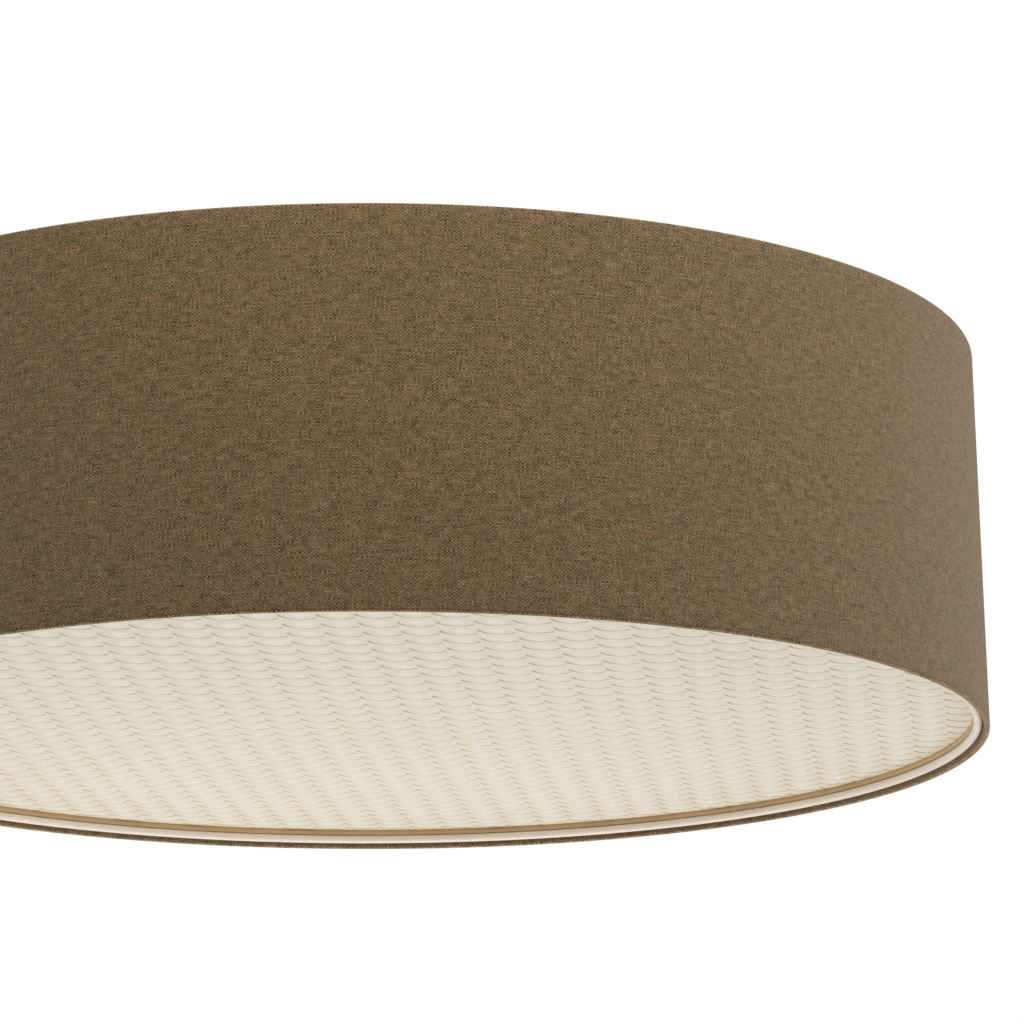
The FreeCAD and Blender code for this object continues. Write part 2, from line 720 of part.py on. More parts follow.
def lamp_body(azimuth):
    """Plastic neck of the lamp, flared from the cap to the globe."""
    wide = math.sqrt((GLOBE_D / 2) ** 2 - (globe_centre - body_end) ** 2)
    body = lathe_x([
        (0, cap_top),
        (BODY_NECK_D / 2, cap_top, BODY_R),
        (BODY_NECK_D / 2, cap_top + BODY_NECK_LENGTH),
        (wide, body_end - BODY_RIM, BODY_R),
        (wide, body_end),
        (0, body_end),
    ])
    return turned(body, azimuth, lamp_z)


def lamp_globe(azimuth):
    """Opal hollow globe on the neck."""
    outer = Part.makeSphere(GLOBE_D / 2, Vector(globe_centre, 0, 0))
    inner = Part.makeSphere(GLOBE_D / 2 - GLOBE_T, Vector(globe_centre, 0, 0))
    keep = rod_x(GLOBE_D, body_end, globe_centre + GLOBE_D)
    return turned(outer.cut(inner).common(keep), azimuth, lamp_z)


# ---- wiring ----

def grommet():
    """Rubber grommet in the middle of the pan."""
    bore = grommet_bore_r
    neck = bore + GROMMET_NECK
    flange = neck + GROMMET_FLANGE
    low = pan_floor_z - GROMMET_T
    high = pan_inside_z + GROMMET_T
    return lathe([
        (bore, low, EDGE_R), (flange, low, EDGE_R), (flange, pan_floor_z), (neck, pan_floor_z),
        (neck, pan_inside_z), (flange, pan_inside_z), (flange, high, EDGE_R), (bore, high, EDGE_R),
    ])


def way_x(i):
    """Middle of one of the terminal block's ways."""
    return WAY_PITCH * (i - (WAY_COUNT - 1) / 2)


def terminal_block():
    """Plastic block with a bore for a lead at both ends of each way."""
    low = pan_inside_z
    high = block_top_z
    body = block(BLOCK_X, BLOCK_Y, low, high, 0, BLOCK_CENTRE_Y)
    cuts = [rod(BLOCK_SCREW_D / 2, low - CUT_PAST, low + BLOCK_SCREW_DEPTH, 0, BLOCK_CENTRE_Y)]
    for i in range(WAY_COUNT):
        for side in (-1, 1):
            face_y = BLOCK_CENTRE_Y + side * BLOCK_Y / 2
            start = Vector(way_x(i), face_y + side * CUT_PAST, lead_z)
            cuts.append(Part.makeCylinder(WAY_BORE / 2, WAY_DEPTH + CUT_PAST, start, Vector(0, -side, 0)))
            cuts.append(rod(WAY_SCREW_D / 2, high - WAY_SCREW_T, high + CUT_PAST, way_x(i),
                            face_y - side * WAY_SCREW_INSET))
    for i in range(WAY_COUNT - 1):
        middle = (way_x(i) + way_x(i + 1)) / 2
        cuts.append(block(WAY_RIB, BLOCK_Y + CUT_PAST, high - WAY_RIB, high + CUT_PAST,
                          middle, BLOCK_CENTRE_Y))
    return body.cut(cuts)


def terminal_screws():
    """Slotted clamping screws in the top of the block."""
    top = block_top_z - WAY_SCREW_SUNK
    screws = []
    for i in range(WAY_COUNT):
        for side in (-1, 1):
            y = BLOCK_CENTRE_Y + side * (BLOCK_Y / 2 - WAY_SCREW_INSET)
            screw = rod(WAY_SCREW_D / 2 - THREAD_GAP, block_top_z - WAY_SCREW_T, top, way_x(i), y)
            slot = block(WAY_SCREW_SLOT, WAY_SCREW_D, top - WAY_SCREW_SLOT, top + CUT_PAST, way_x(i), y)
            screws.append(screw.cut(slot))
    return Part.Compound(screws)


def block_screw():
    """Screw from under the pan that holds the terminal block."""
    high = pan_inside_z + BLOCK_SCREW_DEPTH - SEAT_GAP
    shank = BLOCK_SCREW_D / 2 - THREAD_GAP
    low = pan_floor_z - BLOCK_SCREW_HEAD_T
    screw = lathe([(0, low), (BLOCK_SCREW_HEAD_D / 2, low, EDGE_R), (BLOCK_SCREW_HEAD_D / 2, pan_floor_z),
                   (shank, pan_floor_z), (shank, high), (0, high)])
    screw.translate(Vector(0, BLOCK_CENTRE_Y, 0))
    return screw


def earth_screw():
    """Earth screw through the pan, with its head below."""
    high = pan_inside_z + EARTH_TAG_T + EARTH_NUT_T + EARTH_PAST_NUT
    low = pan_floor_z - EARTH_HEAD_T
    shank = EARTH_SCREW_D / 2 - THREAD_GAP
    screw = lathe([(0, low), (EARTH_HEAD_D / 2, low, EDGE_R), (EARTH_HEAD_D / 2, pan_floor_z),
                   (shank, pan_floor_z), (shank, high), (0, high)])
    screw.translate(Vector(EARTH_X, EARTH_Y, 0))
    return screw


def earth_nut():
    """Hexagon nut on the earth screw, above its tag."""
    low = pan_inside_z + EARTH_TAG_T
    nut = prism(EARTH_NUT_FLATS, 6, low, low + EARTH_NUT_T)
    nut = nut.cut(rod(EARTH_SCREW_D / 2, low - CUT_PAST, low + EARTH_NUT_T + CUT_PAST))
    nut.translate(Vector(EARTH_X, EARTH_Y, 0))
    return nut


def earth_tag():
    """Ring tag under the earth nut, with a crimped barrel for its lead."""
    low = pan_inside_z
    ring = rod(EARTH_TAG_R, low, low + EARTH_TAG_T)
    tail = Part.makeBox(EARTH_LEAD_D, EARTH_TAIL, EARTH_TAG_T, Vector(-EARTH_LEAD_D / 2, -EARTH_TAIL, low))
    mouth = Vector(0, -EARTH_TAIL, low + EARTH_BARREL_T + EARTH_LEAD_D / 2)
    barrel = Part.makeCylinder(EARTH_LEAD_D / 2 + EARTH_BARREL_T, EARTH_TAIL / 2, mouth, Vector(0, 1, 0))
    bore = Part.makeCylinder(EARTH_LEAD_D / 2, EARTH_TAIL / 2 - EARTH_BARREL_T, mouth, Vector(0, 1, 0))
    hole = rod(EARTH_SCREW_D / 2 + PASS_GAP, low - CUT_PAST, low + EARTH_TAG_T + CUT_PAST)
    tag = ring.fuse([tail, barrel]).cut([hole, bore])
    tag.translate(Vector(EARTH_X, EARTH_Y, 0))
    return tag


def lead_start(way):
    """Where a lead ends inside one of the terminal block's ways."""
    return Vector(way_x(way), block_front_y + WAY_DEPTH - LEAD_SHORT, lead_z)


def lamp_lead(i):
    """Sleeved lead from the terminal block through the grommet and a nipple into a lampholder."""
    angle = math.radians(LAMP_AZIMUTH + 360.0 * i / LAMP_COUNT)
    out = Vector(math.cos(angle), math.sin(angle), 0)
    way = (2 - i * 2) % LAMP_COUNT
    column = LEAD_PITCH * (way - 1)
    points = [
        lead_start(way),
        Vector(way_x(way), block_front_y - LEAD_STRAIGHT, lead_z),
        Vector(column, 0, lead_z),
        Vector(column, 0, pan_floor_z - LEAD_DROP),
        out * LEAD_SPREAD + Vector(0, 0, lamp_z),
        out * (bracket_out_r + HOLDER_BACK_T) + Vector(0, 0, lamp_z),
    ]
    bends = [easy_bend(points[k - 1], points[k], points[k + 1]) for k in range(1, len(points) - 1)]
    bends[1] = LEAD_TOP_BEND
    return bent_tube(points, bends, LEAD_D, "lamp_lead_%d" % (i + 1))


def earth_lead():
    """Earth lead from the terminal block round to its tag."""
    low = pan_inside_z + EARTH_BARREL_T + EARTH_LEAD_D / 2
    mouth_y = EARTH_Y - EARTH_TAIL
    way = WAY_COUNT - 1
    points = [
        lead_start(way),
        Vector(way_x(way), block_front_y - EARTH_LEAD_STRAIGHT, lead_z),
        Vector((way_x(way) + EARTH_X) / 2, block_front_y - EARTH_LEAD_REACH, (lead_z + low) / 2),
        Vector(EARTH_X, mouth_y - EARTH_LEAD_RUN, low),
        Vector(EARTH_X, mouth_y + EARTH_TAIL / 2 - EARTH_BARREL_T - SEAT_GAP, low),
    ]
    bends = [easy_bend(points[k - 1], points[k], points[k + 1]) for k in range(1, len(points) - 1)]
    return bent_tube(points, bends, EARTH_LEAD_D, "earth_lead")


def write(name, shape):
    """Save one sub-part."""
    shape.exportStep("parts/%s.step" % name)
    print(name, len(shape.Solids), "solids", round(shape.Volume), "mm3", shape.isValid())


def main():
    os.makedirs("parts", exist_ok=True)
    write("fabric_skin", fabric_skin())
    write("shade_lining", shade_lining())
    write("top_ring", wire_ring(top_ring_z))
    write("bottom_ring", wire_ring(bottom_ring_z))
    write("gallery_band", gallery_band())
    write("carrier_arms", carrier_arms())
    write("screw_bosses", screw_bosses())
    write("seat_strip", seat_strip())
    write("diffuser", diffuser())
    for i in range(SCREW_COUNT):
        write("knurled_screw_%d" % (i + 1), knurled_screw(SCREW_AZIMUTH + 360.0 * i / SCREW_COUNT))
    write("ceiling_bracket", ceiling_bracket())
    write("mounting_studs", mounting_studs())
    write("pan_washers", pan_washers())
    write("cap_nuts", cap_nuts())
    write("ceiling_pan", ceiling_pan())
    write("bracket_rivets", bracket_rivets())
    write("holder_nipples", holder_nipples())
    write("nipple_nuts", nipple_nuts())
    write("centre_contacts", centre_contacts())
    for i in range(LAMP_COUNT):
        azimuth = LAMP_AZIMUTH + 360.0 * i / LAMP_COUNT
        write("lamp_bracket_%d" % (i + 1), lamp_bracket(azimuth))
        write("lampholder_%d" % (i + 1), lampholder(azimuth))
        write("holder_shell_%d" % (i + 1), holder_shell(azimuth))
        write("lamp_cap_%d" % (i + 1), lamp_cap(azimuth))
        write("lamp_body_%d" % (i + 1), lamp_body(azimuth))
        write("lamp_globe_%d" % (i + 1), lamp_globe(azimuth))
        write("lamp_lead_%d" % (i + 1), lamp_lead(i))
    write("grommet", grommet())
    write("terminal_block", terminal_block())
    write("terminal_screws", terminal_screws())
    write("block_screw", block_screw())
    write("earth_screw", earth_screw())
    write("earth_nut", earth_nut())
    write("earth_tag", earth_tag())
    write("earth_lead", earth_lead())


main()
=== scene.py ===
"""Looks for a fabric drum ceiling light: cloth, patterned diffuser, finishes, lamps and camera."""

import math

import bmesh
import bpy
import numpy as np
from mathutils import Matrix, Vector


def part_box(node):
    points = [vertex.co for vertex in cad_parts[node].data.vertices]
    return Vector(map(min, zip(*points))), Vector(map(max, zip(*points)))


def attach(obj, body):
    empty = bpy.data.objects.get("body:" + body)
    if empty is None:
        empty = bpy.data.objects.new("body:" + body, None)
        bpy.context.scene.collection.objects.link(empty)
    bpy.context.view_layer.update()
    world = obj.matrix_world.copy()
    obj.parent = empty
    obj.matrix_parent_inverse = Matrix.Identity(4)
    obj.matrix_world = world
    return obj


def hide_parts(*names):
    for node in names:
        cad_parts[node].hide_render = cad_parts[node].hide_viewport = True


bl_info = {
    "name": "Fabric Drum Ceiling Light",
    "version": (1, 0, 0),
    "blender": (4, 5, 0),
    "location": "3D View > Sidebar > Drum Light",
    "description": "Dresses a fabric drum ceiling light and sets its studio",
    "category": "Object",
}

MM = 0.001

# Node types that the trees below use often.
MATH = "ShaderNodeMath"
VECTOR_MATH = "ShaderNodeVectorMath"
MAP_RANGE = "ShaderNodeMapRange"
MIX = "ShaderNodeMix"
NOISE = "ShaderNodeTexNoise"
COMBINE = "ShaderNodeCombineXYZ"
SEPARATE = "ShaderNodeSeparateXYZ"

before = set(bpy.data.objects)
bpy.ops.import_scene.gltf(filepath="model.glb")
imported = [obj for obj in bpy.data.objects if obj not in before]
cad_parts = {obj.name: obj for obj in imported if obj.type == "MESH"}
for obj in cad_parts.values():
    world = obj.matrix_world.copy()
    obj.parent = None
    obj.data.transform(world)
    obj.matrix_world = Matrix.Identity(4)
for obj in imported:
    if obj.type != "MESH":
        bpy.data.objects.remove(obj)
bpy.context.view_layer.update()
shade_low, shade_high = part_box("fabric_skin")
diffuser_low, diffuser_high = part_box("diffuser")
NUMBERED = ("knurled_screw", "lamp_bracket", "lampholder", "holder_shell",
            "lamp_cap", "lamp_body", "lamp_globe", "lamp_lead")


# ---- nodes and materials ----

def colour(code):
    """An sRGB hex value as linear red, green, blue and alpha."""
    channels = [int(code[i:i + 2], 16) / 255 for i in (1, 3, 5)]
    linear = [c / 12.92 if c <= 0.04045 else ((c + 0.055) / 1.055) ** 2.4 for c in channels]
    return (*linear, 1.0)


def add(tree, kind, links=None, **settings):
    """Add a node with its settings. Links go by input, to a node, a socket or a value."""
    made = tree.nodes.new(kind)
    for name, value in settings.items():
        setattr(made, name, value)
    for key, value in (links or {}).items():
        socket = made.inputs[key] if isinstance(key, int) else next(
            s for s in made.inputs if s.enabled and s.name == key)
        if isinstance(value, bpy.types.Node):
            value = next(s for s in value.outputs if s.enabled)
        if isinstance(value, bpy.types.NodeSocket):
            tree.links.new(value, socket)
        else:
            socket.default_value = value
    return made


def new_material(name, links=None):
    """A material with one shader joined to its output, and the shader's sockets set."""
    material = bpy.data.materials.new(name)
    material.use_nodes = True
    tree = material.node_tree
    tree.nodes.clear()
    shader = add(tree, "ShaderNodeBsdfPrincipled", links)
    add(tree, "ShaderNodeOutputMaterial", {"Surface": shader})
    return material, tree, shader


def grain(tree, size_mm, detail=2.0):
    """Noise in object space whose grains have this size in millimetres."""
    place = add(tree, "ShaderNodeTexCoord").outputs["Object"]
    scaled = add(tree, "ShaderNodeMapping", {"Vector": place, "Scale": [1 / (size_mm * MM)] * 3})
    return add(tree, NOISE, {"Vector": scaled, "Scale": 1.0, "Detail": detail}).outputs[0]


def plain_finish(name, hex_code, links=None, *, roughness, vary, bump_mm, grain_mm):
    """A one-colour finish with a slight unevenness in its colour, gloss and surface."""
    material, tree, shader = new_material(name, links)
    base = Vector(colour(hex_code))
    smoothest, roughest = roughness * 0.85, min(1, roughness * 1.15)
    cloud = grain(tree, size_mm=40, detail=3.0)
    fine = grain(tree, grain_mm)
    shade = add(tree, MIX, {0: cloud, 6: tuple(base * (1 - vary)), 7: tuple(base * (1 + vary))},
                data_type="RGBA")
    gloss = add(tree, MAP_RANGE, {"Value": fine, "To Min": smoothest, "To Max": roughest})
    bump = add(tree, "ShaderNodeBump", {"Height": fine, "Strength": 0.5, "Distance": bump_mm * MM})
    for socket, source in (("Base Color", shade.outputs[2]), ("Roughness", gloss.outputs[0]),
                           ("Normal", bump.outputs[0])):
        tree.links.new(source, shader.inputs[socket])
    return material


def weave(tree, place, settings):
    """Numbers of the two yarns at a place, 1 where the upright one is on top, and the hump."""
    # The yarns wander a little. A yarn's own number is the whole part of the count.
    sway = add(tree, NOISE, {"Vector": place, "Scale": 1 / settings.sway_length, "Detail": 1.0})
    swayed = add(tree, VECTOR_MATH, {0: sway.outputs[1], 1: [settings.yarn_sway] * 3, 2: place},
                 operation="MULTIPLY_ADD")
    pitches = settings.warp_pitch, settings.weft_pitch, 1
    threads = add(tree, VECTOR_MATH, {0: swayed, 1: pitches}, operation="DIVIDE")
    count = add(tree, SEPARATE, {0: threads.outputs[0]})
    across, along = count.outputs[0], count.outputs[1]
    warp = add(tree, MATH, {0: across}, operation="FLOOR")
    weft = add(tree, MATH, {0: along}, operation="FLOOR")
    both = add(tree, MATH, {0: warp, 1: weft}, operation="ADD")
    warp_up = add(tree, MATH, {0: both, 1: 2.0}, operation="FLOORED_MODULO")
    humps = []
    for number in (across, along):
        share = add(tree, MATH, {0: number}, operation="FRACT")
        turn = add(tree, MATH, {0: share, 1: math.pi}, operation="MULTIPLY")
        humps.append(add(tree, MATH, {0: turn}, operation="SINE"))
    hump = add(tree, MATH, {0: humps[0], 1: humps[1]}, operation="MULTIPLY")
    return warp, weft, warp_up, hump


def yarn_tone(tree, place, settings, warp, weft, warp_up):
    """Tone of the yarn on top. Each has its own, which changes along it with its slubs."""
    metres = add(tree, SEPARATE, {0: place})
    tones = []
    for thread, run, slub, unlike in ((warp, metres.outputs[1], settings.slub_length[0], 1.3),
                                      (weft, metres.outputs[0], settings.slub_length[1], 0.9)):
        own = add(tree, MATH, {0: thread, 1: unlike}, operation="MULTIPLY")
        length = add(tree, MATH, {0: run, 1: 1 / slub}, operation="MULTIPLY")
        apart = unlike * 100
        where = add(tree, COMBINE, {0: own, 1: length, 2: apart})
        tones.append(add(tree, NOISE, {"Vector": where, "Scale": 1.0, "Detail": 3.0,
                                       "Roughness": 0.6}))
    return add(tree, MIX, {0: warp_up, 2: tones[1], 3: tones[0]}, data_type="FLOAT")


def linen(settings):
    """Linen-look polyester, woven plain of mixed brown yarns: matt, with slubs and a soft bloom."""
    material, tree, shader = new_material("woven linen", {
        "Roughness": 0.85, "IOR": 1.5, "Specular IOR Level": 0.25,
        "Sheen Weight": settings.cloth_sheen, "Sheen Roughness": 0.45,
        "Sheen Tint": colour("#e9ddc8")})
    place = add(tree, "ShaderNodeUVMap", uv_map="cloth")
    warp, weft, warp_up, hump = weave(tree, place, settings)
    tone = yarn_tone(tree, place, settings, warp, weft, warp_up)
    darkest, palest = 0.32, 0.68
    uneven_yarn = add(tree, MAP_RANGE, {"Value": tone, "From Min": darkest, "From Max": palest,
                                        "To Min": 0.0, "To Max": 1 - settings.weave_contrast})
    lightness = add(tree, MATH, {0: warp_up, 1: settings.weave_contrast, 2: uneven_yarn},
                    operation="MULTIPLY_ADD")
    yarn = add(tree, MIX, {0: lightness, 6: settings.dark_yarn, 7: settings.light_yarn},
               data_type="RGBA")

    # Wider patches of cloth are slightly redder or greener.
    patch = add(tree, VECTOR_MATH, {0: place, 1: settings.tint_patch}, operation="DIVIDE")
    wide = add(tree, NOISE, {"Vector": patch, "Scale": 1.0, "Detail": 3.0, "Roughness": 0.65})
    reddest, greenest = 0.35, 0.65
    tinted = add(tree, MAP_RANGE, {"Value": wide, "From Min": reddest, "From Max": greenest})
    tint = add(tree, MIX, {0: tinted, 6: colour("#fff0e6"), 7: colour("#eceeda")}, data_type="RGBA")
    dyed = add(tree, MIX, {0: 1.0, 6: yarn, 7: tint}, data_type="RGBA", blend_type="MULTIPLY")

    # Painted shade between the yarns and a painted highlight on their crowns; painted light from
    # below makes the cloth paler where it faces down round the lower edge.
    shade_between_yarns, highlight_on_yarn = 0.62, 1.12
    painted_light = add(tree, MAP_RANGE, {"Value": hump, "To Min": shade_between_yarns, "To Max": highlight_on_yarn})
    facing = add(tree, SEPARATE, {0: add(tree, "ShaderNodeNewGeometry").outputs["Normal"]})
    starts_to_turn, turned_down = -0.3, -0.8
    # Painted light from below: paler where the cloth faces down.
    folded = add(tree, MAP_RANGE, {
        "Value": facing.outputs[2], "From Min": starts_to_turn, "From Max": turned_down,
        "To Min": 1.0, "To Max": settings.fold_painted_light})
    painted_light = add(tree, MATH, {0: painted_light, 1: folded}, operation="MULTIPLY")
    shaded = add(tree, VECTOR_MATH, {0: dyed, "Scale": painted_light}, operation="SCALE")
    slub_height = 0.5  # In heights of the hump.
    uneven = add(tree, MATH, {0: tone, 1: slub_height, 2: hump}, operation="MULTIPLY_ADD")
    yarn_height = settings.weft_pitch * 0.35
    bump = add(tree, "ShaderNodeBump", {"Height": uneven, "Strength": 0.6, "Distance": yarn_height})
    tree.links.new(shaded.outputs[0], shader.inputs["Base Color"])
    tree.links.new(bump.outputs[0], shader.inputs["Normal"])
    return material


def cell_offset(tree, place, across, along, shift):
    """Place within the nearest cell of the pattern, in cells from its middle."""
    half_cell = (0.5, 0.5, 0.0)
    moved = add(tree, VECTOR_MATH, {0: place, 1: shift}, operation="SUBTRACT")
    counts = [add(tree, VECTOR_MATH, {0: moved, 1: axis}, operation="DOT_PRODUCT")
              for axis in (across, along)]
    cells = add(tree, COMBINE, {i: count.outputs["Value"] for i, count in enumerate(counts)})
    half = add(tree, VECTOR_MATH, {0: cells, 1: half_cell}, operation="ADD")
    inside = add(tree, VECTOR_MATH, {0: half}, operation="FRACTION")
    return add(tree, VECTOR_MATH, {0: inside, 1: half_cell}, operation="SUBTRACT")


def from_spot(tree, offset, spot):
    """Distance from a spot in the cell, in cells."""
    away = add(tree, VECTOR_MATH, {0: offset, 1: spot}, operation="SUBTRACT")
    return add(tree, VECTOR_MATH, {0: away}, operation="LENGTH").outputs["Value"]


def pattern_axes(settings):
    """The pattern's two directions, each as cells per metre."""
    turns = settings.pattern_turn, settings.pattern_turn + math.pi / 2 + settings.pattern_skew
    return [Vector((math.cos(turn), math.sin(turn), 0)) / pitch
            for turn, pitch in zip(turns, settings.pattern_pitch)]


def opal_acrylic(settings):
    """Pressed opal acrylic: ivory ground with an etched face, glossier domes with a painted
    highlight near each top and painted shade along each dome's crease.
    """
    material, tree, shader = new_material("opal acrylic", {"IOR": 1.49})
    place = add(tree, "ShaderNodeTexCoord").outputs["Object"]
    offset = cell_offset(tree, place, *pattern_axes(settings), settings.pattern_shift)

    # All these distances are in cells.
    # Painted highlight: paler round a spot near each dome's top, on the side towards the light.
    palest_to, pale_to = 0.1, 0.34
    top = add(tree, MAP_RANGE, {
        "Value": from_spot(tree, offset, settings.highlight_spot), "From Min": palest_to,
        "From Max": pale_to, "To Min": 1.0, "To Max": 0.0}, interpolation_type="SMOOTHSTEP")
    # Painted shade: a dark arc along each dome's steep side; the same arc is also pinched into the
    # bump.
    crease_fades, crease_ends = 0.46, 0.6
    within = add(tree, MAP_RANGE, {
        "Value": from_spot(tree, offset, (0, 0, 0)), "From Min": crease_fades,
        "From Max": crease_ends, "To Min": 1.0, "To Max": 0.0})
    bend = from_spot(tree, offset, settings.crease_spot)
    middle = settings.crease_radius
    width_inside, width_outside = 0.1, 0.07
    inner = add(tree, MAP_RANGE, {
        "Value": bend, "From Min": middle - width_inside, "From Max": middle})
    outer = add(tree, MAP_RANGE, {
        "Value": bend, "From Min": middle, "From Max": middle + width_outside,
        "To Min": 1.0, "To Max": 0.0})
    line = add(tree, MATH, {0: inner, 1: outer}, operation="MULTIPLY")
    crease = add(tree, MATH, {0: line, 1: within}, operation="MULTIPLY")

    cloud = grain(tree, size_mm=60)
    ground = add(tree, MIX, {0: cloud, 6: settings.diffuser_colour, 7: colour("#f1ebda")},
                 data_type="RGBA")
    highlighted = add(tree, MIX, {0: top, 6: ground.outputs[2], 7: settings.dome_highlight_colour},
                 data_type="RGBA")
    tint = add(tree, MIX, {0: crease, 6: highlighted.outputs[2], 7: settings.crease_shade_colour},
               data_type="RGBA")
    gloss = add(tree, MAP_RANGE, {"Value": top, "To Min": settings.ground_gloss,
                                  "To Max": settings.diffuser_gloss})
    fine = grain(tree, size_mm=1.5)
    fine_height = 0.04 * MM
    crease_height = -10.0  # In heights of the fine grain.
    pinched = add(tree, MATH, {0: crease, 1: crease_height, 2: fine}, operation="MULTIPLY_ADD")
    bump = add(tree, "ShaderNodeBump", {
        "Height": pinched, "Strength": 0.5, "Distance": fine_height})
    for socket, source in (("Base Color", tint.outputs[2]), ("Roughness", gloss.outputs[0]),
                           ("Normal", bump.outputs[0])):
        tree.links.new(source, shader.inputs[socket])
    return material


def earth_sleeve():
    """Soft green sleeve with a yellow stripe along each side, as on earth leads."""
    material, tree, shader = new_material("green and yellow sleeve",
                                          {"Roughness": 0.45, "IOR": 1.5})
    normal = add(tree, "ShaderNodeTexCoord").outputs["Normal"]
    height = add(tree, SEPARATE, {0: normal}).outputs[2]
    flat = add(tree, MATH, {0: height}, operation="ABSOLUTE")
    stripe_from = 0.75
    stripe = add(tree, MATH, {0: flat, 1: stripe_from}, operation="GREATER_THAN")
    mixed = add(tree, MIX, {0: stripe, 6: colour("#2f8a3c"), 7: colour("#e8cf2a")},
                data_type="RGBA")
    tree.links.new(mixed.outputs[2], shader.inputs["Base Color"])
    return material


def dress(material, *names):
    """Give CAD nodes their material."""
    for name in names:
        wanted = [f"{name}_{i}" for i in (1, 2, 3)] if name in NUMBERED else [name]
        for node_name in wanted:
            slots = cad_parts[node_name].data.materials
            slots.clear()
            slots.append(material)


# ---- meshes ----

def mesh_object(name, mesh, body, replaced):
    """A finished piece that rides on a body and stands for a CAD node, which it hides; the caller
    gives it its finish.
    """
    piece = bpy.data.objects.new(name, mesh)
    bpy.context.scene.collection.objects.link(piece)
    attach(piece, body)
    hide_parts(replaced)
    return piece


def cloth_path(settings):
    """Middle line of the cloth's section from cut end to cut end, as radius and height."""
    low, high = shade_low.z, shade_high.z
    thick = settings.cloth_thickness
    hem = 2 * thick + settings.lining_thickness
    roll = (hem - thick) / 2
    on_turn_in, on_fold, on_wall = 5, 9, 40  # Points on each stretch.

    def wall(z):
        share = (z - low) / (high - low)
        return settings.bottom_radius + (settings.top_radius - settings.bottom_radius) * share

    def fold(z, centre, turns):
        return [(wall(z) - hem / 2 + roll * math.cos(turn), centre + roll * math.sin(turn))
                for turn in turns[1:-1]]

    inside = hem - thick / 2
    points = [(wall(z) - inside, z)
              for z in np.linspace(high - settings.turn_in, high - hem / 2, on_turn_in)]
    points += fold(high, high - hem / 2, np.linspace(math.pi, 0, on_fold))
    points += [(wall(z) - thick / 2, z)
               for z in np.linspace(high - hem / 2, low + hem / 2, on_wall)]
    points += fold(low, low + hem / 2, np.linspace(0, -math.pi, on_fold))
    points += [(wall(z) - inside, z)
               for z in np.linspace(low + hem / 2, low + settings.turn_in, on_turn_in)]
    return np.array(points)


def cloth_section(settings):
    """The cloth's closed section, its length along the cloth, and its share of the lap."""
    path = cloth_path(settings)
    step = np.gradient(path, axis=0)
    out = np.stack([-step[:, 1], step[:, 0]], 1)
    out /= np.linalg.norm(out, axis=1)[:, None]
    run = np.concatenate([[0], np.cumsum(np.linalg.norm(np.diff(path, axis=0), axis=1))])
    if out[len(path) // 2, 0] < 0:
        out = -out
    thick = settings.cloth_thickness
    outer = path + out * thick / 2
    inner = path - out * thick / 2
    # Each cut end is slightly rounded.
    ends = []
    for last, near in ((-1, -2), (0, 1)):
        onward = path[last] - path[near]
        ends.append(path[last] + onward / np.linalg.norm(onward) * thick / 4)
    section = np.concatenate([outer, ends[:1], inner[::-1], ends[1:]])
    rows = np.concatenate([run, run[-1:], run[::-1], run[:1]])

    # Only the upright outer face has the lap, which fades out before the folds.
    fade_start, fade_length = 0.4, 6 * MM
    heights = outer[:, 1]
    from_edge = np.minimum(shade_high.z - heights, heights - shade_low.z)
    fade = np.clip(from_edge / fade_length - fade_start, 0, 1)
    upright = np.abs(out[:, 0]) > 0.9
    outside = outer[:, 0] > settings.top_radius - 1 * MM
    lap_share = np.zeros(len(section))
    lap_share[:len(outer)] = np.where(upright & outside, fade, 0)
    return section, rows, lap_share


def cloth_lap(settings):
    """Angles of the cloth's columns, and how far the lap stands out at each."""
    # The lap is one cloth thicker, with a sharp edge and a long slope behind it.
    radius = settings.bottom_radius
    seam = settings.seam_azimuth
    width = settings.seam_width / radius
    edge = 0.15 * MM / radius
    slope = 4 * MM / radius
    fine = [seam + past for past in (-edge, 0, edge, 3 * edge, width)]
    fine += [seam + width + slope * share for share in (0.25, 0.5, 0.75, 1)]
    shape = [0, 0.55, 0.9, 1, 1, 0.85, 0.5, 0.15, 0]
    around = np.linspace(0, 2 * math.pi, settings.columns, endpoint=False)
    clear = (around < fine[0] - 4 * edge) | (around > fine[-1] + edge)
    around = np.sort(np.concatenate([around[clear], fine]))
    return around, np.interp(around, fine, shape) * settings.cloth_thickness


def cloth_mesh(settings):
    """The cloth as one closed sheet round the drum, with its lap seam and its flat map."""
    section, rows, lap_share = cloth_section(settings)
    around, lap = cloth_lap(settings)
    count, ring = len(section), len(around)
    reach = section[:, 0][None] + lap_share[None] * lap[:, None]

    # The lower edge is a little wavy.
    wave_height, wavy_to = 0.06 * MM, 4 * MM
    wave = wave_height * (np.sin(3 * around + 1) + 0.6 * np.sin(7 * around + 2)
                          + 0.4 * np.sin(13 * around))
    height = section[:, 1][None]
    rise = height + wave[:, None] * (np.abs(height - shade_low.z) < wavy_to)
    rise = np.maximum(rise, shade_low.z)
    places = np.stack([reach * np.cos(around)[:, None], reach * np.sin(around)[:, None], rise], 2)
    mesh = bpy.data.meshes.new("shade cloth")
    mesh.from_pydata(places.reshape(-1, 3).tolist(), [], band_faces(ring, count))

    # The flat map counts metres round the drum and metres along the section.
    layer = mesh.uv_layers.new(name="cloth")
    radius = settings.bottom_radius
    start = np.repeat(around * radius, count).reshape(ring, count)
    finish = np.roll(start, -1, 0)
    finish[-1] = start[0] + 2 * math.pi * radius
    level = np.repeat(rows[None], ring, 0)
    above = np.roll(level, -1, 1)
    coords = np.stack([np.stack([start, level], 2), np.stack([finish, level], 2),
                       np.stack([finish, above], 2), np.stack([start, above], 2)], 2)
    layer.data.foreach_set("uv", coords.reshape(-1).astype(np.float32))
    turn_outwards(mesh)
    mesh.shade_smooth()
    mesh.set_sharp_from_angle(angle=math.radians(50))
    return mesh


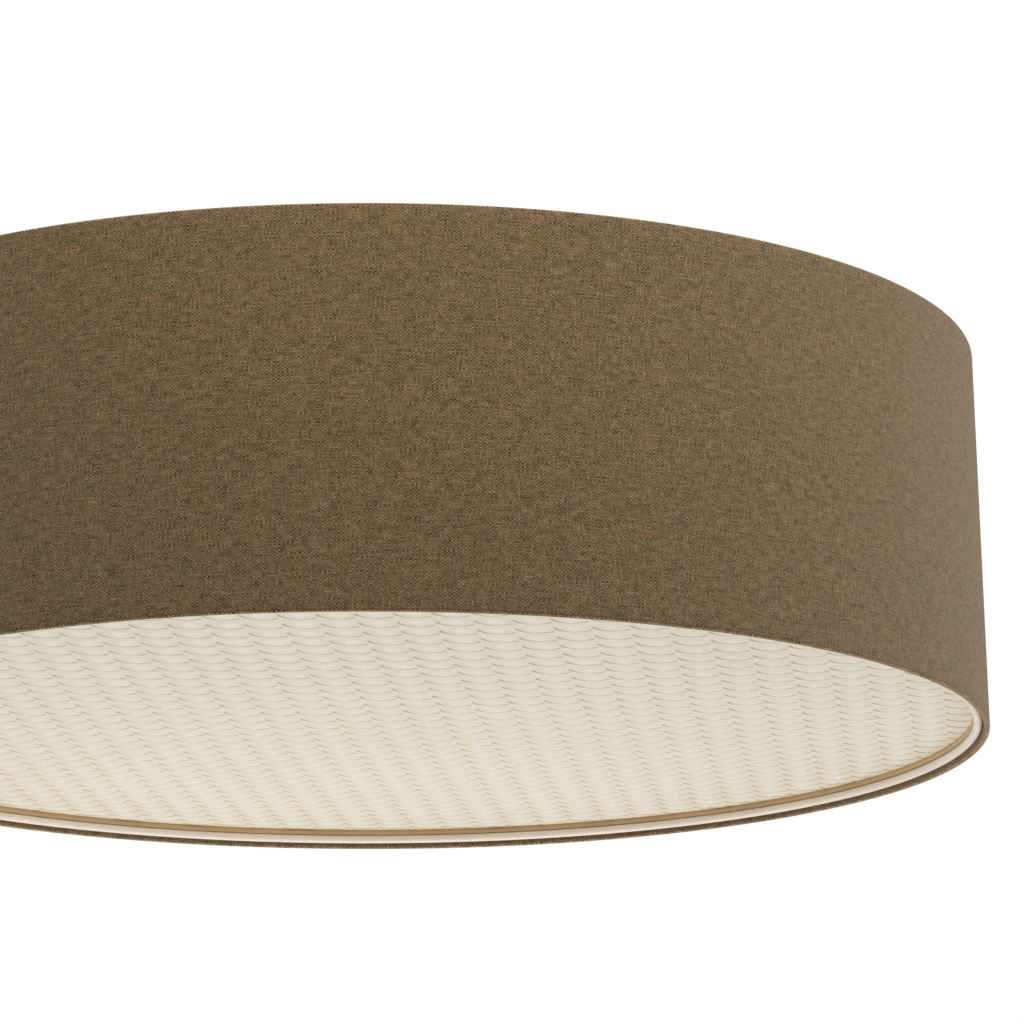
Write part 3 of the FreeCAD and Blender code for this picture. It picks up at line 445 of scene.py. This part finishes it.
def band_faces(ring, count):
    """Corner numbers of a closed band's faces: sections round it, points round each section."""
    corner = np.arange(ring * count).reshape(ring, count)
    right, up = np.roll(corner, -1, 0), np.roll(corner, -1, 1)
    return np.stack([corner, right, np.roll(right, -1, 1), up], 2).reshape(-1, 4).tolist()


def ring_mesh(name, section, columns=256):
    """A closed ring turned from a section of radius and height points."""
    turns = np.linspace(0, 2 * math.pi, columns, endpoint=False)
    points = [(radius * math.cos(turn), radius * math.sin(turn), height)
              for turn in turns for radius, height in section]
    mesh = bpy.data.meshes.new(name)
    mesh.from_pydata(points, [], band_faces(columns, len(section)))
    turn_outwards(mesh)
    mesh.shade_smooth()
    return mesh


def turn_outwards(mesh):
    """Make the faces of a closed mesh point outwards."""
    work = bmesh.new()
    work.from_mesh(mesh)
    bmesh.ops.recalc_face_normals(work, faces=work.faces)
    work.to_mesh(mesh)
    work.free()
    mesh.update()


def disc(tree, given):
    """A square grid drawn out to a disc."""
    grid = add(tree, "GeometryNodeMeshGrid", {
        "Size X": 2.0, "Size Y": 2.0, "Vertices X": given["Rows"], "Vertices Y": given["Rows"]})
    square = add(tree, SEPARATE, {0: add(tree, "GeometryNodeInputPosition")})
    round_axes = []
    for own, other in ((0, 1), (1, 0)):
        power = add(tree, MATH, {0: square.outputs[other], 1: square.outputs[other]},
                    operation="MULTIPLY")
        left = add(tree, MATH, {0: power, 1: -0.5, 2: 1.0}, operation="MULTIPLY_ADD")
        root = add(tree, MATH, {0: left}, operation="SQRT")
        unit = add(tree, MATH, {0: square.outputs[own], 1: root}, operation="MULTIPLY")
        round_axes.append(add(tree, MATH, {0: unit, 1: given["Radius"]}, operation="MULTIPLY"))
    target = add(tree, COMBINE, {0: round_axes[0], 1: round_axes[1]})
    return add(tree, "GeometryNodeSetPosition", {"Geometry": grid, "Position": target})


def underside_height(tree, given):
    """The sheet sags as the square of the distance from its middle, and domes hang from it."""
    place = add(tree, "GeometryNodeInputPosition")
    away = add(tree, VECTOR_MATH, {0: place}, operation="LENGTH").outputs["Value"]
    share = add(tree, MATH, {0: away, 1: given["Radius"]}, operation="DIVIDE")
    squared = add(tree, MATH, {0: share, 1: share}, operation="MULTIPLY")
    short = add(tree, MATH, {0: squared, 1: 1.0}, operation="SUBTRACT")
    sag = add(tree, MATH, {0: short, 1: given["Bow"], 2: given["Edge Height"]},
              operation="MULTIPLY_ADD")

    offset = cell_offset(tree, place, given["Across"], given["Along"], given["Shift"])
    radius = add(tree, MATH, {0: given["Dome Width"], 1: 0.5}, operation="MULTIPLY")
    reach = add(tree, MATH, {0: from_spot(tree, offset, (0, 0, 0)), 1: radius}, operation="DIVIDE",
                use_clamp=True)
    low = add(tree, MATH, {0: reach, 1: reach}, operation="MULTIPLY")
    swell = add(tree, MATH, {0: 1.0, 1: low}, operation="SUBTRACT")
    cap = add(tree, MATH, {0: swell, 1: given["Dome Shape"]}, operation="POWER")
    steep_width, left_over = 0.24, 0.15
    shoulder = add(tree, MATH, {0: given["Crease Radius"], 1: steep_width}, operation="SUBTRACT")
    steep = add(tree, MAP_RANGE, {
        "Value": from_spot(tree, offset, given["Crease Spot"]), "From Min": shoulder,
        "From Max": given["Crease Radius"], "To Min": 1.0, "To Max": left_over},
        interpolation_type="SMOOTHSTEP")
    dome = add(tree, MATH, {0: cap, 1: steep}, operation="MULTIPLY")
    rim = add(tree, MATH, {0: given["Radius"], 1: away}, operation="SUBTRACT")
    fade = add(tree, MAP_RANGE, {
        "Value": rim, "From Min": given["Plain Edge"], "From Max": given["Fade Edge"]})
    pressed = add(tree, MATH, {0: dome, 1: fade}, operation="MULTIPLY")
    drop = add(tree, MATH, {0: pressed, 1: given["Relief"]}, operation="MULTIPLY")
    return add(tree, MATH, {0: sag, 1: drop}, operation="SUBTRACT")


def closed_above(tree, given, under):
    """The sheet's edge and upper face, added to its underside."""
    # The border edges have one face. They are drawn up into the wall.
    faces = add(tree, "GeometryNodeInputMeshEdgeNeighbors")
    border = add(tree, "FunctionNodeCompare", {2: faces, 3: 1}, data_type="INT", operation="EQUAL")
    lift = add(tree, COMBINE, {2: given["Thickness"]})
    wall = add(tree, "GeometryNodeExtrudeMesh", {"Mesh": under, "Selection": border, "Offset": lift,
                                                 "Offset Scale": 1.0}, mode="EDGES")
    shell, edge = wall.outputs["Mesh"], wall.outputs["Top"]
    upper_edge = add(tree, MATH, {0: given["Edge Height"], 1: given["Thickness"]}, operation="ADD")
    # The upper face closes in rings, the last of them almost a point.
    rings, least = 8, 1e-4
    for ring in range(1, rings + 1):
        inward = 1 - ring / rings
        inset = add(tree, "GeometryNodeExtrudeMesh", {
            "Mesh": shell, "Selection": edge, "Offset": (0, 0, 0), "Offset Scale": 0.0},
            mode="EDGES")
        spot = add(tree, SEPARATE, {0: add(tree, "GeometryNodeInputPosition")})
        flat_spot = add(tree, COMBINE, {0: spot.outputs[0], 1: spot.outputs[1]})
        unit = add(tree, VECTOR_MATH, {0: flat_spot}, operation="NORMALIZE")
        reach = add(tree, MATH, {0: given["Radius"], 1: max(inward, least)}, operation="MULTIPLY")
        level = add(tree, MATH, {0: given["Bow"], 1: inward * inward - 1, 2: upper_edge},
                    operation="MULTIPLY_ADD")
        flat_ring = add(tree, VECTOR_MATH, {0: unit, "Scale": reach}, operation="SCALE")
        lifted = add(tree, COMBINE, {2: level})
        target = add(tree, VECTOR_MATH, {0: flat_ring, 1: lifted}, operation="ADD")
        placed = add(tree, "GeometryNodeSetPosition", {"Geometry": inset.outputs["Mesh"],
                                                       "Selection": inset.outputs["Top"],
                                                       "Position": target})
        shell, edge = placed.outputs[0], inset.outputs["Top"]
    return add(tree, "GeometryNodeMergeByDistance", {
        "Geometry": shell, "Selection": edge, "Distance": 0.1 * MM})


def diffuser_tree(material):
    """Geometry nodes for a round bowed sheet with rows of pressed domes on its underside."""
    tree = bpy.data.node_groups.new("patterned diffuser", "GeometryNodeTree")
    tree.interface.new_socket("Mesh", in_out="OUTPUT", socket_type="NodeSocketGeometry")
    tree.interface.new_socket("Mesh", in_out="INPUT", socket_type="NodeSocketGeometry")
    for name in ("Radius", "Thickness", "Bow", "Edge Height", "Relief", "Dome Width", "Dome Shape",
                 "Crease Radius", "Plain Edge", "Fade Edge"):
        tree.interface.new_socket(name, in_out="INPUT", socket_type="NodeSocketFloat")
    for name in ("Across", "Along", "Shift", "Crease Spot"):
        tree.interface.new_socket(name, in_out="INPUT", socket_type="NodeSocketVector")
    tree.interface.new_socket("Rows", in_out="INPUT", socket_type="NodeSocketInt")
    given = add(tree, "NodeGroupInput").outputs

    flat = disc(tree, given)
    hang = add(tree, COMBINE, {2: underside_height(tree, given)})
    under = add(tree, "GeometryNodeSetPosition", {"Geometry": flat, "Offset": hang})
    closed = closed_above(tree, given, under)
    smooth = add(tree, "GeometryNodeSetShadeSmooth", {"Geometry": closed, "Shade Smooth": True})
    real = add(tree, "GeometryNodeRealizeInstances", {"Geometry": smooth})
    coated = add(tree, "GeometryNodeSetMaterial", {"Geometry": real, "Material": material})
    add(tree, "NodeGroupOutput", {0: coated})
    return tree


def grown(name, tree, values):
    """Run a geometry tree with named inputs and return its plain mesh."""
    carrier = bpy.data.objects.new(name, bpy.data.meshes.new(name))
    bpy.context.scene.collection.objects.link(carrier)
    modifier = carrier.modifiers.new(name, "NODES")
    modifier.node_group = tree
    for item in tree.interface.items_tree:
        if item.name in values:
            modifier[item.identifier] = values[item.name]
    evaluated = carrier.evaluated_get(bpy.context.evaluated_depsgraph_get())
    mesh = bpy.data.meshes.new_from_object(evaluated)
    carrier.modifiers.clear()
    bpy.data.objects.remove(carrier)
    return mesh


# ---- studio ----

def make_floor(settings):
    """A wide pale floor under the light."""
    material, tree, shader = new_material("pale floor", {
        "Base Color": colour("#e9e8e6"), "Roughness": 0.9, "Specular IOR Level": 0.1,
        "Emission Color": (1, 1, 1, 1)})
    # The camera sees the floor paler than the lamps make it. This lights nothing else.
    path = add(tree, "ShaderNodeLightPath")
    glow = 0.45
    paler = add(tree, MATH, {0: path.outputs["Is Camera Ray"], 1: glow}, operation="MULTIPLY")
    tree.links.new(paler.outputs[0], shader.inputs["Emission Strength"])
    mesh = bpy.data.meshes.new("floor")
    half, low = 20.0, -settings.floor_drop
    corners = [(-half, -half, low), (half, -half, low), (half, half, low), (-half, half, low)]
    mesh.from_pydata(corners, [], [(0, 1, 2, 3)])
    mesh.materials.append(material)
    floor = bpy.data.objects.new("floor", mesh)
    bpy.context.scene.collection.objects.link(floor)


def make_world(scene):
    """White for what looks at it or mirrors it, softer as light on the object."""
    world = bpy.data.worlds.new("studio")
    world.use_nodes = True
    tree = world.node_tree
    tree.nodes.clear()
    path = add(tree, "ShaderNodeLightPath")
    seen = add(tree, MATH, {0: path.outputs["Is Camera Ray"], 1: path.outputs["Is Glossy Ray"]},
               operation="MAXIMUM")
    seen = add(tree, MATH, {0: seen, 1: path.outputs["Is Transmission Ray"]}, operation="MAXIMUM")
    lighting = add(tree, "ShaderNodeBackground", {"Color": colour("#f4f6fa"), "Strength": 0.4})
    backdrop = add(tree, "ShaderNodeBackground", {"Color": (1, 1, 1, 1), "Strength": 1.0})
    mixed = add(tree, "ShaderNodeMixShader", {0: seen, 1: lighting, 2: backdrop})
    add(tree, "ShaderNodeOutputWorld", {"Surface": mixed})
    scene.world = world


def make_lamps():
    """Soft boxes: overhead, over the front edge, on the right, and two low ones."""
    # Name, place, aim, width and height in metres, watts, tint.
    rows = (
        ("overhead box", (0.6, -0.6, 2.2), (0.1, 0, -0.9), (2.4, 2.4), 30.0, "#fffaf3"),
        ("front strip", (0.02, -0.52, 0.24), (-0.03, -0.22, -0.05), (1.4, 0.12), 2.45, "#fff2e6"),
        ("right box", (2.2, 0.6, 0.2), (0.2, 0, -0.08), (0.9, 0.9), 7.5, "#fff4e6"),
        ("floor panel", (-0.12, 0.25, -0.94), (-0.05, 0.12, -0.16), (0.9, 0.9), 5.5, "#fbf5ea"),
        ("low right panel", (1.35, -0.2, -0.9), (0.0, 0.0, -0.16), (0.8, 0.8), 5.3, "#eef2fc"),
    )
    for name, place, aim, size, power, tint in rows:
        data = bpy.data.lights.new(name, "AREA")
        data.shape = "RECTANGLE"
        data.size, data.size_y = size
        data.energy = power
        data.color = colour(tint)[:3]
        lamp = bpy.data.objects.new(name, data)
        bpy.context.scene.collection.objects.link(lamp)
        turn = (Vector(aim) - Vector(place)).to_track_quat("-Z", "Y").to_matrix().to_4x4()
        lamp.matrix_world = Matrix.Translation(place) @ turn
        lamp.visible_camera = False


def make_camera(settings):
    """A long lens below the shade, looking up at its underside."""
    yaw, pitch, roll = (math.radians(angle) for angle in (1.466, 13.314, -0.331))
    forward = Vector((math.sin(yaw) * math.cos(pitch), math.cos(yaw) * math.cos(pitch),
                      math.sin(pitch)))
    level = Vector((math.cos(yaw), -math.sin(yaw), 0))
    upright = level.cross(forward)
    right = math.cos(roll) * level + math.sin(roll) * upright
    top = -math.sin(roll) * level + math.cos(roll) * upright
    data = bpy.data.cameras.new("camera")
    data.sensor_width = 36
    data.lens = settings.focal_length
    camera = bpy.data.objects.new("camera", data)
    bpy.context.scene.collection.objects.link(camera)
    turn = Matrix((right, top, -forward)).transposed().to_4x4()
    place = (0, -settings.camera_distance, -settings.camera_drop)
    camera.matrix_world = Matrix.Translation(place) @ turn
    return camera


# ---- settings ----

class DrumLightSettings(bpy.types.PropertyGroup):
    """Sizes and colours of the light."""

    cloth_thickness: bpy.props.FloatProperty(
        name="Cloth Thickness", description="Thickness of the woven cloth", default=0.9 * MM,
        unit="LENGTH")
    lining_thickness: bpy.props.FloatProperty(
        name="Lining Thickness", description="Thickness of the stiff lining", default=0.7 * MM,
        unit="LENGTH")
    bottom_radius: bpy.props.FloatProperty(
        name="Bottom Radius", description="Outer radius at the lower edge", default=0.250,
        unit="LENGTH")
    top_radius: bpy.props.FloatProperty(
        name="Top Radius", description="Outer radius at the upper edge", default=0.2465,
        unit="LENGTH")
    turn_in: bpy.props.FloatProperty(
        name="Turn-in", description="Cloth folded up inside each edge", default=10 * MM,
        unit="LENGTH")
    seam_azimuth: bpy.props.FloatProperty(
        name="Seam Azimuth", description="Where the cloth's ends meet", default=math.radians(150),
        subtype="ANGLE", unit="ROTATION")
    seam_width: bpy.props.FloatProperty(
        name="Seam Width", description="Lap of the cloth's ends", default=12 * MM, unit="LENGTH")
    columns: bpy.props.IntProperty(
        name="Columns", description="Faces round the drum", default=540)
    warp_pitch: bpy.props.FloatProperty(
        name="Warp Pitch", description="Distance between the upright yarns", default=0.84 * MM,
        unit="LENGTH", precision=5)
    weft_pitch: bpy.props.FloatProperty(
        name="Weft Pitch", description="Distance between the level yarns", default=0.645 * MM,
        unit="LENGTH", precision=5)
    yarn_sway: bpy.props.FloatProperty(
        name="Yarn Sway", description="How far the yarns wander from straight", default=0.9 * MM,
        unit="LENGTH", precision=5)
    sway_length: bpy.props.FloatProperty(
        name="Sway Length", description="Length over which the yarns wander", default=3 * MM,
        unit="LENGTH")
    weave_contrast: bpy.props.FloatProperty(
        name="Weave Contrast", description="How much paler the upright yarns are than the others",
        default=0.3, subtype="FACTOR", min=0, max=1)
    slub_length: bpy.props.FloatVectorProperty(
        name="Slub Length", description="Length over which an upright, a level yarn's tone changes",
        default=(4 * MM, 7 * MM), size=2, unit="LENGTH")
    tint_patch: bpy.props.FloatVectorProperty(
        name="Tint Patch", description="Width and height of the redder and greener patches",
        default=(11 * MM, 6 * MM, 1.0), unit="LENGTH")
    dark_yarn: bpy.props.FloatVectorProperty(
        name="Dark Yarn", description="Colour of the darkest yarns", default=colour("#352b1d"),
        size=4, subtype="COLOR")
    light_yarn: bpy.props.FloatVectorProperty(
        name="Light Yarn", description="Colour of the palest yarns", default=colour("#af9775"),
        size=4, subtype="COLOR")
    cloth_sheen: bpy.props.FloatProperty(
        name="Cloth Sheen", description="Bloom of the fibres towards the outline", default=0.35,
        subtype="FACTOR", min=0, max=1)
    pattern_pitch: bpy.props.FloatVectorProperty(
        name="Pattern Pitch", description="Distance from dome to dome, across and along",
        default=(14.21 * MM, 13.57 * MM), size=2, unit="LENGTH", precision=5)
    pattern_turn: bpy.props.FloatProperty(
        name="Pattern Turn", description="Turn of the pattern about the middle",
        default=math.radians(-6.69), subtype="ANGLE", unit="ROTATION")
    pattern_skew: bpy.props.FloatProperty(
        name="Pattern Skew", description="How far the pattern's rows are off square",
        default=math.radians(3.2), subtype="ANGLE", unit="ROTATION")
    pattern_shift: bpy.props.FloatVectorProperty(
        name="Pattern Shift", description="Middle of one dome from the drum's axis",
        default=(-55.55 * MM, -207.98 * MM, 0), subtype="TRANSLATION", unit="LENGTH")
    pattern_relief: bpy.props.FloatProperty(
        name="Pattern Relief", description="Height of a dome", default=0.8 * MM, unit="LENGTH")
    dome_width: bpy.props.FloatProperty(
        name="Dome Width", description="Width of a dome's foot as a share of the pitch",
        default=1.0, subtype="FACTOR", min=0, max=1)
    dome_shape: bpy.props.FloatProperty(
        name="Dome Shape", description="1 for a plain cap, over 1 for a softer foot", default=1.3)
    # Painted highlight: where each dome is painted palest.
    highlight_spot: bpy.props.FloatVectorProperty(
        name="Top Spot", description="Palest spot of a dome, in cells from its middle",
        default=(0.09, -0.09, 0))
    crease_spot: bpy.props.FloatVectorProperty(
        name="Crease Spot", description="Middle of the arc at a dome's steep side, in cells",
        default=(0.16, -0.42, 0))
    crease_radius: bpy.props.FloatProperty(
        name="Crease Radius", description="Radius of the arc at a dome's steep side, in cells",
        default=0.66)
    # Colour of the painted highlight over each dome's top.
    dome_highlight_colour: bpy.props.FloatVectorProperty(
        name="Dome Colour", description="Painted highlight over each dome's top",
        default=colour("#f5f4ed"), size=4, subtype="COLOR")
    # Colour of the painted shade along each dome's crease.
    crease_shade_colour: bpy.props.FloatVectorProperty(
        name="Crease Colour", description="Painted shade along each dome's crease",
        default=colour("#a5916c"), size=4, subtype="COLOR")
    edge_rise: bpy.props.FloatProperty(
        name="Edge Rise", description="How far the sheet's edge turns up past its flat seat",
        default=0.4 * MM, unit="LENGTH", precision=4)
    strip_width: bpy.props.FloatProperty(
        name="Strip Width", description="Width of the felt strip under the sheet", default=3 * MM,
        unit="LENGTH")
    diffuser_thickness: bpy.props.FloatProperty(
        name="Diffuser Thickness", description="Thickness of the sheet", default=2.5 * MM,
        unit="LENGTH")
    diffuser_colour: bpy.props.FloatVectorProperty(
        name="Diffuser Colour", description="Ivory of the opal sheet", default=colour("#ebe4d1"),
        size=4, subtype="COLOR")
    diffuser_gloss: bpy.props.FloatProperty(
        name="Dome Roughness", description="Roughness of the domes", default=0.2,
        subtype="FACTOR", min=0, max=1)
    ground_gloss: bpy.props.FloatProperty(
        name="Ground Roughness", description="Roughness of the sheet between the domes",
        default=0.36, subtype="FACTOR", min=0, max=1)
    # Painted light from below on the cloth's downturned faces round the lower edge.
    fold_painted_light: bpy.props.FloatProperty(
        name="Fold Lightness", description="How much paler the cloth is where it turns the edge",
        default=1.7, min=1)
    floor_drop: bpy.props.FloatProperty(
        name="Floor Drop", description="Height of the ceiling face over the floor", default=3.5,
        unit="LENGTH")
    camera_distance: bpy.props.FloatProperty(
        name="Camera Distance", description="From the drum's axis to the camera", default=2.264,
        unit="LENGTH")
    camera_drop: bpy.props.FloatProperty(
        name="Camera Drop", description="Camera below the ceiling face", default=0.599,
        unit="LENGTH")
    focal_length: bpy.props.FloatProperty(
        name="Focal Length", description="In millimetres on a 36 mm wide sensor", default=200.2)


# ---- operators ----

class DRUM_OT_shade_cloth(bpy.types.Operator):
    """Make the cloth round the shade, with its turned edges and its seam."""
    bl_idname = "drum.shade_cloth"
    bl_label = "Shade Cloth"

    def execute(self, context):
        settings = context.scene.drum_light
        piece = mesh_object("shade_cloth", cloth_mesh(settings), "shade",
                            "fabric_skin")
        piece.data.materials.append(linen(settings))
        return {"FINISHED"}


class DRUM_OT_shade_frame(bpy.types.Operator):
    """Finish the lining, the wire rings and the arms of the shade."""
    bl_idname = "drum.shade_frame"
    bl_label = "Shade Frame"

    def execute(self, context):
        # Laminated lining sheet: smooth, faintly satin white plastic.
        dress(plain_finish("white lining sheet", "#f1eee6", roughness=0.45, vary=0.02, bump_mm=0.02,
                           grain_mm=3.0), "shade_lining")
        # Powder coat on wire: warm white, half gloss, with a fine orange peel.
        dress(plain_finish("white coated wire", "#f3e8dc", roughness=0.38, vary=0.03, bump_mm=0.03,
                           grain_mm=0.8),
              "bottom_ring", "top_ring", "carrier_arms", "gallery_band", "screw_bosses")
        return {"FINISHED"}


class DRUM_OT_felt_strip(bpy.types.Operator):
    """Make the felt strip that fills the gap between the wire ring and the diffuser."""
    bl_idname = "drum.felt_strip"
    bl_label = "Felt Strip"

    def execute(self, context):
        settings = context.scene.drum_light
        low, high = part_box("seat_strip")
        fill = 0.25 * MM  # It is pressed into the gaps over and under it.
        bottom, top = low.z - fill, high.z + settings.edge_rise + fill
        outer = high.x
        inner = outer - settings.strip_width
        bevel = 0.3 * MM
        section = [(inner, bottom + bevel), (inner + bevel, bottom), (outer - bevel, bottom),
                   (outer, bottom + bevel), (outer, top - bevel), (outer - bevel, top),
                   (inner + bevel, top), (inner, top - bevel)]
        piece = mesh_object("felt_strip", ring_mesh("felt strip", section), "shade",
                            "seat_strip")
        # Pressed wool felt: brown, matt, with a bloom of loose fibres.
        piece.data.materials.append(plain_finish(
            "brown felt", "#d0ad7e", {"Sheen Weight": 0.4, "Specular IOR Level": 0.15},
            roughness=0.95, vary=0.15, bump_mm=0.15, grain_mm=0.5))
        return {"FINISHED"}


class DRUM_OT_diffuser(bpy.types.Operator):
    """Make the patterned diffuser that closes the shade from below."""
    bl_idname = "drum.diffuser"
    bl_label = "Patterned Diffuser"

    def execute(self, context):
        settings = context.scene.drum_light
        radius = (diffuser_high.x - diffuser_low.x) / 2
        thick = settings.diffuser_thickness
        edge = diffuser_high.z - thick + settings.edge_rise
        across, along = pattern_axes(settings)
        tree = diffuser_tree(opal_acrylic(settings))
        mesh = grown("diffuser sheet", tree, {
            "Radius": radius, "Thickness": thick, "Bow": edge - diffuser_low.z, "Edge Height": edge,
            "Relief": settings.pattern_relief, "Dome Width": settings.dome_width,
            "Dome Shape": settings.dome_shape, "Plain Edge": 6 * MM, "Fade Edge": 16 * MM,
            "Across": across, "Along": along, "Shift": settings.pattern_shift,
            "Crease Spot": settings.crease_spot, "Crease Radius": settings.crease_radius,
            "Rows": 290})
        turn_outwards(mesh)
        mesh_object("diffuser_sheet", mesh, "diffuser", "diffuser")
        return {"FINISHED"}


class DRUM_OT_fixings(bpy.types.Operator):
    """Finish the screws, nuts, washers, studs and rivets."""
    bl_idname = "drum.fixings"
    bl_label = "Fixings"

    def execute(self, context):
        # Bright nickel plate: mirror-like with a warm cast, and fine turning marks.
        dress(plain_finish("nickel plated steel", "#cfcac0", {"Metallic": 1.0}, roughness=0.22,
                           vary=0.03, bump_mm=0.01, grain_mm=0.4),
              "knurled_screw", "cap_nuts")
        # Clear zinc plate: bluish grey and dull.
        dress(plain_finish("zinc plated steel", "#a4a9ad", {"Metallic": 1.0}, roughness=0.38,
                           vary=0.08, bump_mm=0.02, grain_mm=0.8),
              "mounting_studs", "pan_washers", "ceiling_bracket", "bracket_rivets", "earth_screw",
              "earth_nut", "earth_tag", "block_screw", "nipple_nuts", "holder_nipples",
              "lamp_bracket")
        # Turned brass: yellow and half bright.
        dress(plain_finish("turned brass", "#c9a455", {"Metallic": 1.0}, roughness=0.3, vary=0.05,
                           bump_mm=0.01, grain_mm=0.5),
              "terminal_screws", "centre_contacts", "holder_shell")
        return {"FINISHED"}


class DRUM_OT_ceiling_pan(bpy.types.Operator):
    """Finish the pan on the ceiling."""
    bl_idname = "drum.ceiling_pan"
    bl_label = "Ceiling Pan"

    def execute(self, context):
        # Powder coat on drawn steel: even white, fine orange peel, satin.
        dress(plain_finish("white powder coat", "#eeece6", roughness=0.42, vary=0.02, bump_mm=0.04,
                           grain_mm=1.2), "ceiling_pan")
        return {"FINISHED"}


class DRUM_OT_lamps(bpy.types.Operator):
    """Finish the lampholders and the lamps."""
    bl_idname = "drum.lamps"
    bl_label = "Lampholders and Lamps"

    def execute(self, context):
        # Glazed steatite: dense white under a clear, wet-looking glaze.
        glaze = {"Coat Weight": 1.0, "Coat Roughness": 0.04}
        dress(plain_finish("glazed ceramic", "#f2efe8", glaze, roughness=0.12, vary=0.02,
                           bump_mm=0.02, grain_mm=6.0), "lampholder")
        # Plated aluminium cap: pale, bright metal with rolled threads.
        dress(plain_finish("lamp cap metal", "#d2cfc8", {"Metallic": 1.0}, roughness=0.28,
                           vary=0.05, bump_mm=0.01, grain_mm=0.5), "lamp_cap")
        # Moulded plastic heat sink: white and satin.
        dress(plain_finish("white lamp plastic", "#eeeeea", roughness=0.4, vary=0.02, bump_mm=0.01,
                           grain_mm=0.6), "lamp_body")
        # Opal polycarbonate globe: milky and half matt.
        dress(plain_finish("opal globe", "#f6f4ee", {"Transmission Weight": 0.15, "IOR": 1.58},
                           roughness=0.3, vary=0.01, bump_mm=0.005, grain_mm=1.0), "lamp_globe")
        return {"FINISHED"}


class DRUM_OT_wiring(bpy.types.Operator):
    """Finish the leads, the grommet and the terminal block."""
    bl_idname = "drum.wiring"
    bl_label = "Wiring"

    def execute(self, context):
        # Silicone sleeve: white, soft and slightly dusty.
        dress(plain_finish("white sleeve", "#e9e6de", roughness=0.55, vary=0.04, bump_mm=0.03,
                           grain_mm=0.8), "lamp_lead")
        # Soft moulded rubber: near black and matt.
        dress(plain_finish("black rubber", "#1d1c1b", roughness=0.7, vary=0.15, bump_mm=0.05,
                           grain_mm=0.8), "grommet")
        # Natural polyamide: milky, slightly yellow and waxy.
        dress(plain_finish("natural nylon", "#e6e0cc", roughness=0.35, vary=0.03, bump_mm=0.01,
                           grain_mm=1.0), "terminal_block")
        dress(earth_sleeve(), "earth_lead")
        return {"FINISHED"}


class DRUM_OT_stage(bpy.types.Operator):
    """Set the floor, the studio light and the camera."""
    bl_idname = "drum.stage"
    bl_label = "Studio"

    def execute(self, context):
        scene = context.scene
        settings = scene.drum_light
        scene.view_settings.view_transform = "Standard"
        make_floor(settings)
        make_world(scene)
        make_lamps()
        scene.camera = make_camera(settings)
        return {"FINISHED"}


# ---- panel, registration and run ----

STEPS = (DRUM_OT_stage, DRUM_OT_shade_cloth, DRUM_OT_shade_frame, DRUM_OT_felt_strip,
         DRUM_OT_diffuser, DRUM_OT_fixings, DRUM_OT_ceiling_pan, DRUM_OT_lamps, DRUM_OT_wiring)


class DRUM_PT_panel(bpy.types.Panel):
    """Buttons that make the light's pieces and its studio."""
    bl_label = "Drum Light"
    bl_idname = "DRUM_PT_panel"
    bl_space_type = "VIEW_3D"
    bl_region_type = "UI"
    bl_category = "Drum Light"

    def draw(self, context):
        for step in STEPS:
            self.layout.operator(step.bl_idname)


CLASSES = (DrumLightSettings, *STEPS, DRUM_PT_panel)


def register():
    for cls in CLASSES:
        bpy.utils.register_class(cls)
    bpy.types.Scene.drum_light = bpy.props.PointerProperty(type=DrumLightSettings)


def unregister():
    del bpy.types.Scene.drum_light
    for cls in reversed(CLASSES):
        bpy.utils.unregister_class(cls)


def main():
    register()
    for step in (bpy.ops.drum.stage, bpy.ops.drum.shade_cloth, bpy.ops.drum.shade_frame,
                 bpy.ops.drum.felt_strip, bpy.ops.drum.diffuser, bpy.ops.drum.fixings,
                 bpy.ops.drum.ceiling_pan, bpy.ops.drum.lamps, bpy.ops.drum.wiring):
        step()


if __name__ == "__main__":
    main()
